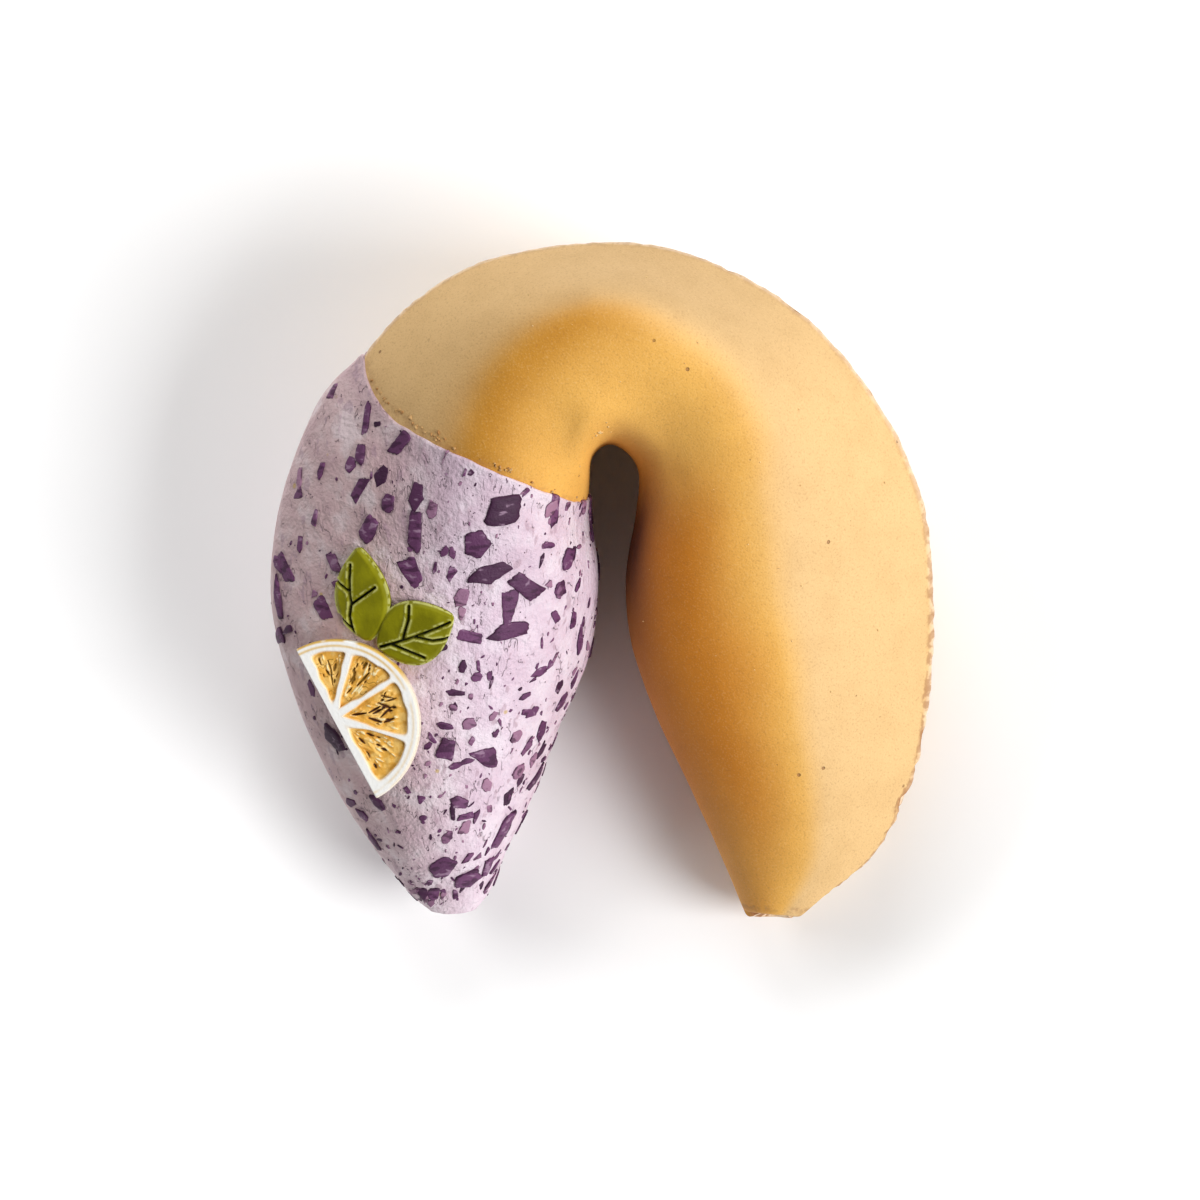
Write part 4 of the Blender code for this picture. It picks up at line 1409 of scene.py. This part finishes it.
@dataclass
class LemonSlice:
    """Half a slice of lemon: rind, pith, membranes and pulp pockets with split cells."""

    radius: float = 6.5
    thick: float = 1.0
    middle: tuple[float, float] = (-20.5, -11.0)
    turn: float = 28.4
    tilt: float = 10.0
    hub: float = 0.55              # where the membranes meet, up the straight side
    edges: tuple = (-90.0, -44.0, 4.0, 47.0, 90.0)   # degrees of the membranes
    rind: float = 0.20
    pith: float = 0.68
    straight_pith: tuple[float, float] = (0.44, 0.70)   # at the hub and at the corners
    split_cells: tuple[int, int] = (5, 84)     # seed and number of the open strokes
    fibres: tuple[int, int] = (8, 120)         # seed and number of the raised strokes, which also carry a painted highlight
    membrane: float = 0.22
    corner: float = 0.19           # roundness of the pockets' corners
    sink: float = 0.28
    angle_steps: int = 300
    radius_steps: int = 84
    finish: LemonFlesh = LemonFlesh()

    def lie(self, flat: Array) -> Array:
        """Put points of the flat slice in their place.

        The slice is tilted about its straight side and turned about the vertical; its height
        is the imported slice's, whose lowest point is the straight side's lower edge.

        Args:
            flat: Points with the slice's middle plane at height 0.

        Returns:
            Points in millimetres.
        """
        tilt, turn = math.radians(self.tilt), math.radians(self.turn)
        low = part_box("lemon_slice")[0].z / MM
        x = flat[..., 0] * math.cos(tilt) - flat[..., 2] * math.sin(tilt)
        z = flat[..., 0] * math.sin(tilt) + flat[..., 2] * math.cos(tilt)
        lift = low + self.thick / 2 * math.cos(tilt)
        y = flat[..., 1]
        return np.stack([self.middle[0] + x * math.cos(turn) - y * math.sin(turn),
                         self.middle[1] + x * math.sin(turn) + y * math.cos(turn), z + lift], axis=-1)

    def strokes(self, x: Array, y: Array, seed: int, count: int) -> Array:
        """Juice cells: short strokes that point away from the hub.

        The height at a point is the largest, over the strokes, of a bell curve of the distance
        to the stroke's middle line, with the distance past its ends counted as well.

        Args:
            x: Places across.
            y: Places along the straight side.
            seed: Seed of the scatter.
            count: Number of strokes.

        Returns:
            Height from 0 to 1.
        """
        rng = np.random.default_rng(seed)
        angle = np.radians(rng.uniform(-86, 86, count))
        away = np.sqrt(rng.uniform(0.10, 1.0, count)) * (self.radius - 1.4)
        lean = angle + rng.normal(0, 0.25, count)
        half = 0.10 + 0.60 * rng.uniform(0, 1, count) ** 2
        width = rng.uniform(0.07, 0.17, count)
        centre_x, centre_y = away * np.cos(angle), self.hub + away * np.sin(angle)
        off_x, off_y = x[..., None] - centre_x, y[..., None] - centre_y
        along = off_x * np.cos(lean) + off_y * np.sin(lean)
        aside = off_y * np.cos(lean) - off_x * np.sin(lean)
        past = np.maximum(np.abs(along) - half, 0)
        taper = width * (1.1 - 0.6 * np.clip(np.abs(along) / half, 0, 1))
        return np.exp(-(past ** 2 + aside ** 2) / taper ** 2).max(axis=-1)

    def build(self) -> bpy.types.Object:
        """Make the piece from a fan of rays that leave the hub and end on the slice's outline.

        Returns:
            The lemon slice.
        """
        angle = np.radians(np.linspace(-90, 90, self.angle_steps))
        cos, sin = np.cos(angle), np.sin(angle)
        reach = -self.hub * sin + np.sqrt(self.radius ** 2 - (self.hub * cos) ** 2)
        share = np.linspace(0, 1, self.radius_steps) ** 0.9
        away = reach[:, None] * share[None]
        x, y = away * cos[:, None], self.hub + away * sin[:, None]
        rim = self.radius - np.hypot(x, y)
        bounds = np.radians(np.array(self.edges))
        swing = np.abs(angle[:, None, None] - bounds[1:-1])
        wall = (away[..., None] * np.sin(np.minimum(swing, math.pi / 2))).min(axis=-1)
        # The distance to a pocket's side is a soft least of the distances to its bounds.
        place = np.stack([x, y, 0 * x], axis=-1)
        straight = mix(*self.straight_pith, np.clip(np.abs(y - self.hub) / 5.0, 0, 1))
        bounds_away = np.stack([wall - self.membrane, x - straight, rim - self.rind - self.pith])
        inside = -self.corner * np.log(np.exp(-bounds_away / self.corner).sum(axis=0))
        inside = inside + 0.10 * cloud(place, 0.9, 51)
        pulp = ease(inside, -0.03, 0.06)
        upper_part = ease(y, -0.2, 1.4)
        hole = self.strokes(x, y, *self.split_cells) * ease(inside, 0.20, 0.36)
        # raised strokes, which also carry a painted highlight
        glinting_fibre = self.strokes(x, y, *self.fibres) * ease(inside, 0.12, 0.26) * (1 - hole)
        swell = 0.07 * cloud(place, 0.45, 52)
        top = (self.thick / 2 - 0.08 * ease(rim, 0.12, 0.0) + pulp * (swell - self.sink)
               - 0.20 * hole + 0.10 * glinting_fibre)
        line = bump(rim, 0.44, 0.10) * (0.45 + 0.40 * upper_part)
        marks = {"pulp": pulp, "cell": ease(hole, 0.40, 0.75), "glinting_fibre": ease(glinting_fibre, 0.45, 0.80),
                 "lining": bump(inside, -0.02, 0.07), "upper": upper_part,
                 "rind": np.maximum(ease(rim, self.rind, 0.06) * (0.35 + 0.65 * upper_part), line)}
        upper = np.stack([x, y, top], axis=-1)
        side = upper[:, -1]
        levels = np.array([0.28, 0.1, -0.2, -0.42, -0.5]) * self.thick
        outward = np.array([0.0, 0.03, 0.03, 0.0, -0.08])
        directions = np.stack([cos, sin, 0 * cos], axis=-1)
        walls = [np.concatenate([side[:, :2] + push * directions[:, :2],
                                 np.full((len(side), 1), level)], axis=1)
                 for level, push in zip(levels, outward)]
        grid = np.concatenate([upper, np.stack(walls, axis=1)], axis=1)
        rows, columns = grid.shape[:2]
        # The rays at -90 and +90 degrees bound the straight side. It is closed by triangles
        # that run to the underside's hub, as the underside is.
        index = np.arange(rows * columns).reshape(rows, columns)
        floor_hub = np.array([0.0, self.hub, -self.thick / 2])
        hub_number = rows * columns
        underside = np.stack([index[:-1, -1], index[1:, -1], np.full(rows - 1, hub_number)], axis=-1)
        triangles = [underside]
        low_ray = index[0, 1:self.radius_steps]
        high_ray = index[-1, 1:self.radius_steps]
        drop_low, drop_high = index[0, self.radius_steps:], index[-1, self.radius_steps:]
        top_hub = index[0, 0]
        for ray, drop, flip in ((low_ray, drop_low, 1), (high_ray, drop_high, -1)):
            chain = np.concatenate([[top_hub], ray, drop])
            cover = np.stack([chain[:-1], chain[1:], np.full(len(chain) - 1, hub_number)], axis=-1)
            triangles.append(cover[:, ::-flip])
        flat = np.vstack([grid.reshape(-1, 3), floor_hub])
        padded = {mark: np.concatenate([values, np.repeat(values[:, -1:], len(levels), axis=1)], axis=1)
                  for mark, values in marks.items()}
        all_marks = {mark: np.append(values.ravel(), 0.0) for mark, values in padded.items()}
        shape = Shape(self.lie(flat), grid_quads(rows, columns), np.concatenate(triangles), all_marks)
        piece = shape.make("lemon_half_slice", self.finish.material(), Slot.LEMON, ("lemon_slice",))
        return piece


@dataclass
class Leaf:
    """A leaf laid on the icing, with a carved midrib and side veins."""

    form: CookieForm
    name: str
    node: str
    base: tuple[float, float]
    tip: tuple[float, float]
    width: float
    start: tuple[float, float]     # station and turn near its middle
    veins: tuple                   # chains of places: share along, share across
    bend: tuple[float, float]      # how far the base leans out of line
    lit_green: float                   # share of the lighter green, painted light
    thick: float = 0.55
    gap: float = 0.15
    groove: float = 0.095
    steps: tuple[int, int] = (110, 72)
    finish: OliveLeaf = OliveLeaf()

    def vein_distance(self, along: Array, across: Array) -> Array:
        """Distance to the nearest vein, in millimetres.

        It is the least, over the veins' straight pieces, of the distance to the piece.

        Args:
            along: Places along the leaf in millimetres.
            across: Places across it in millimetres.

        Returns:
            Distances.
        """
        length = math.dist(self.base, self.tip)
        best = np.full(along.shape, 9.0)
        for chain in self.veins:
            knots = np.array(chain) * (length, self.width / 2)
            for start, end in zip(knots, knots[1:]):
                step = end - start
                share = ((along - start[0]) * step[0] + (across - start[1]) * step[1]) / (step @ step)
                share = np.clip(share, 0, 1)
                gap = np.hypot(along - start[0] - share * step[0], across - start[1] - share * step[1])
                best = np.minimum(best, gap)
        return best

    def build(self) -> bpy.types.Object:
        """Make the piece.

        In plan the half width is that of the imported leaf, and the height over the coat is a
        low cushion: it falls off at the margin, dips in the veins and swells beside them.

        Returns:
            The leaf.
        """
        base, tip = np.array(self.base), np.array(self.tip)
        ahead = tip - base
        length = np.linalg.norm(ahead)
        aside = np.array((ahead[1], -ahead[0])) / length
        share, side = np.meshgrid(np.linspace(0, 1, self.steps[0]),
                                  np.sin(np.linspace(-1, 1, self.steps[1]) * math.pi / 2), indexing="ij")
        half = 0.12 + (self.width / 2 - 0.12) * np.sin(math.pi * share ** 0.85) ** 0.82
        along, across = share * length, side * half
        plan = base + share[..., None] * ahead + across[..., None] * aside
        plan = plan + (1 - share[..., None]) ** 2 * np.array(self.bend)
        station, turn = self.form.locate(plan[..., 0], plan[..., 1], self.form.coat, self.start)
        ground = self.form.over(station, turn, self.form.coat)
        normal = self.form.frame(station, turn)[0]
        margin = np.minimum(half - np.abs(across), np.minimum(along, length - along) * 1.5 + 0.05)
        distance = self.vein_distance(along, across)
        vein = bump(distance, 0, self.groove * mix(1.25, 0.85, share))
        crown = self.thick * (0.62 + 0.38 * ease(margin, 0.0, 0.45))
        top = crown - 0.30 * vein + 0.07 * bump(distance, self.groove * 2.1, self.groove)
        top = top + 0.03 * cloud(np.stack([along, across, 0 * along], axis=-1), 1.2, 61)
        upper = ground + (self.gap + top)[..., None] * normal
        lower = ground + self.gap * normal
        rows, columns = share.shape
        index = np.arange(rows * columns).reshape(rows, columns)
        below = index + rows * columns
        ring = np.concatenate([index[0, :-1], index[:-1, -1], index[-1, :0:-1], index[:0:-1, 0]])
        ring_below = ring + rows * columns
        skirt = np.stack([ring, np.roll(ring, -1), np.roll(ring_below, -1), ring_below], axis=-1)
        quads = np.concatenate([grid_quads(rows, columns)[:, ::-1],
                                grid_quads(rows, columns) + rows * columns, skirt])
        points = np.concatenate([upper.reshape(-1, 3), lower.reshape(-1, 3)])
        # painted highlight beside the veins and along the margin
        painted_highlight = np.maximum(bump(distance, self.groove * 2.2, self.groove * 0.7), ease(margin, 0.20, 0.04))
        marks = {"vein": np.concatenate([ease(vein, 0.30, 0.70).ravel(), np.zeros(below.size)]),
                 "painted_highlight": np.concatenate([painted_highlight.ravel(), np.zeros(below.size)]),
                 "lit_green": np.full(2 * below.size, self.lit_green)}
        shape = Shape(points, quads, NO_TRIANGLES, marks)
        return shape.make(self.name, self.finish.material(), Slot.LEAF, (self.node,))


@dataclass
class Crumbs:
    """Loose crumbs on the wafer, along the icing's edge and at the broken rim."""

    form: CookieForm
    seed: int = 3
    finish: Crumb = Crumb()

    def places(self, rng: np.random.Generator) -> tuple[Array, Array, Array, Array]:
        """Station, turn, size and shade of every crumb.

        Args:
            rng: Source of the scatter.

        Returns:
            The four arrays.
        """
        edge = np.concatenate([rng.normal(0.86, 0.03, 9), rng.normal(0.66, 0.02, 6),
                               rng.normal(0.42, 0.03, 9), rng.uniform(0.08, 0.95, 22)])
        edge_station = self.form.dip(edge) - 0.03 - np.abs(rng.normal(0.0, 0.035, len(edge)))
        notch_station = rng.normal(8.55, 0.22, 9)
        notch_turn = rng.normal(0.165, 0.018, 9)
        loose_station = rng.uniform(0.5, 9.8, 46)
        loose_turn = rng.uniform(0.15, 0.93, 46)
        station = np.concatenate([edge_station, notch_station, loose_station])
        turn = np.concatenate([edge, notch_turn, loose_turn])
        size = np.concatenate([rng.uniform(0.05, 0.14, len(edge)), rng.uniform(0.05, 0.13, 9),
                               rng.uniform(0.03, 0.07, 46)])
        shade = np.concatenate([rng.uniform(0.5, 1.0, len(edge)), rng.uniform(0.0, 0.35, 9),
                                rng.uniform(0.0, 0.4, 46)])
        return station, turn, size, shade

    def build(self) -> bpy.types.Object:
        """Make the piece: each crumb is a small ball whose radius wanders.

        Returns:
            The crumbs.
        """
        rng = np.random.default_rng(self.seed)
        station, turn, size, shade = self.places(rng)
        count, rings, steps = len(station), 5, 9
        centre = self.form.over(station, turn, 0.35 * size)
        up = np.linspace(0, math.pi, rings + 2)[1:-1]
        round_angle = np.linspace(0, 2 * math.pi, steps, endpoint=False)
        ball = np.stack([np.sin(up)[:, None] * np.cos(round_angle), np.sin(up)[:, None] * np.sin(round_angle),
                         np.cos(up)[:, None] * np.ones(steps)], axis=-1)
        rough = rng.uniform(0.65, 1.25, (count, rings, steps, 1))
        stretch = rng.uniform(0.6, 1.4, (count, 1, 1, 3))
        radius = size[:, None, None, None]
        points = centre[:, None, None] + radius * rough * stretch * ball
        quads, triangles = ring_stacks(count, rings, steps)
        pole = size[:, None] * stretch[:, 0, 0] * (0.0, 0.0, 0.9)
        everything = np.vstack([points.reshape(-1, 3), centre + pole, centre - pole])
        marks = {"shade": np.concatenate([np.repeat(shade, rings * steps), shade, shade])}
        return Shape(everything, quads, triangles, marks).make("crumbs", self.finish.material(), Slot.WAFER)


@dataclass
class Studio:
    """White table, one soft key light, pale surroundings and the camera overhead."""

    view_height: float = 0.5
    focus_height: float = 0.015
    frame_width: float = 0.0936    # what the view takes in at the focus height
    centre: tuple[float, float] = (-0.000234, -0.001482)
    # azimuth and elevation in degrees, power in watts, and whether it lights the table alone
    lamps: tuple = ((342.0, 43.0, 11.4, False), (98.0, 38.0, 5.7, False), (150.0, 34.0, 6.0, True))
    lamp_distance: float = 1.1
    lamp_size: float = 0.60
    aim_height: float = 0.01
    sky: float = 0.15
    floor_size: float = 3.0

    def floor(self) -> bpy.types.Object:
        """Lay the table.

        Returns:
            The table.
        """
        half = self.floor_size / 2
        mesh = bpy.data.meshes.new("table_top")
        corners = [(-half, -half, 0), (half, -half, 0), (half, half, 0), (-half, half, 0)]
        mesh.from_pydata(corners, [], [(0, 1, 2, 3)])
        mesh.materials.append(PaleFloor().material())
        table = bpy.data.objects.new("table_top", mesh)
        bpy.context.scene.collection.objects.link(table)
        return table

    def lights(self, table: bpy.types.Object) -> None:
        """Hang the soft lights and light the surroundings.

        Args:
            table: The table, which the backdrop light is flagged to light alone.
        """
        backdrop = bpy.data.collections.new("backdrop")
        backdrop.objects.link(table)
        for number, (azimuth, elevation, power, table_alone) in enumerate(self.lamps):
            turn, rise = math.radians(azimuth), math.radians(elevation)
            place = self.lamp_distance * Vector((math.cos(rise) * math.cos(turn),
                                                 math.cos(rise) * math.sin(turn), math.sin(rise)))
            lamp = bpy.data.lights.new(f"soft_light_{number}", "AREA")
            lamp.size = self.lamp_size
            lamp.energy = power
            light = bpy.data.objects.new(f"soft_light_{number}", lamp)
            light.location = place
            aim = Vector((0, 0, self.aim_height)) - place
            light.rotation_euler = aim.to_track_quat("-Z", "Y").to_euler()
            bpy.context.scene.collection.objects.link(light)
            if table_alone:
                light.light_linking.receiver_collection = backdrop
        world = bpy.data.worlds.new("surroundings")
        world.use_nodes = True
        world.node_tree.nodes["Background"].inputs["Strength"].default_value = self.sky
        world.node_tree.nodes["Background"].inputs["Color"].default_value = (1.0, 1.0, 1.0, 1.0)
        bpy.context.scene.world = world

    def camera(self) -> None:
        """Hang the camera overhead, looking straight down."""
        lens = bpy.data.cameras.new("overhead")
        lens.sensor_width = 36.0
        lens.lens = lens.sensor_width * (self.view_height - self.focus_height) / self.frame_width
        eye = bpy.data.objects.new("overhead", lens)
        eye.location = (*self.centre, self.view_height)
        bpy.context.scene.collection.objects.link(eye)
        bpy.context.scene.camera = eye
        bpy.context.scene.view_settings.view_transform = "Standard"

    def build(self) -> None:
        """Set up the table, the lights and the camera."""
        self.lights(self.floor())
        self.camera()


# Veins by share along the leaf and share of its half width across it.
UPRIGHT_VEINS = (((0.10, -0.45), (0.27, -0.50), (0.40, -0.38), (0.51, -0.40), (0.82, -0.28)),
                 ((0.40, -0.36), (0.57, 0.55)),
                 ((0.53, -0.40), (0.655, -0.85)),
                 ((0.14, -0.48), (0.28, -0.92)))
SIDE_VEINS = (((0.03, 0.02), (0.35, 0.10), (0.65, 0.12), (0.93, 0.10)),
              ((0.30, 0.10), (0.48, -0.42), (0.56, -0.80)),
              ((0.16, 0.06), (0.34, 0.50), (0.46, 0.80)),
              ((0.46, 0.12), (0.64, 0.42), (0.82, 0.52)))


def clear() -> None:
    """Remove whatever the scene already holds."""
    for item in list(bpy.data.objects):
        bpy.data.objects.remove(item, do_unlink=True)


def main() -> None:
    """Build the cookie piece by piece and report each one."""
    logging.basicConfig(level=logging.INFO, format="%(name)s: %(message)s")
    clear()
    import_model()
    form = CookieForm()
    Studio().build()
    Wafer(form).build()
    coat = IcingCoat(form)
    coat.build()
    Flakes(coat).build()
    LemonSlice().build()
    Leaf(form, "leaf_up", "leaf_upright", (-18.4, -4.4), (-18.6, 2.6), 4.2, (13.2, 0.5),
         UPRIGHT_VEINS, (0.50, -0.10), 0.42).build()
    Leaf(form, "leaf_across", "leaf_side", (-16.9, -5.0), (-11.5, -2.6), 5.0, (13.4, 0.45),
         SIDE_VEINS, (-0.25, 0.05), 0.10).build()
    Crumbs(form).build()


if __name__ == "__main__":
    main()
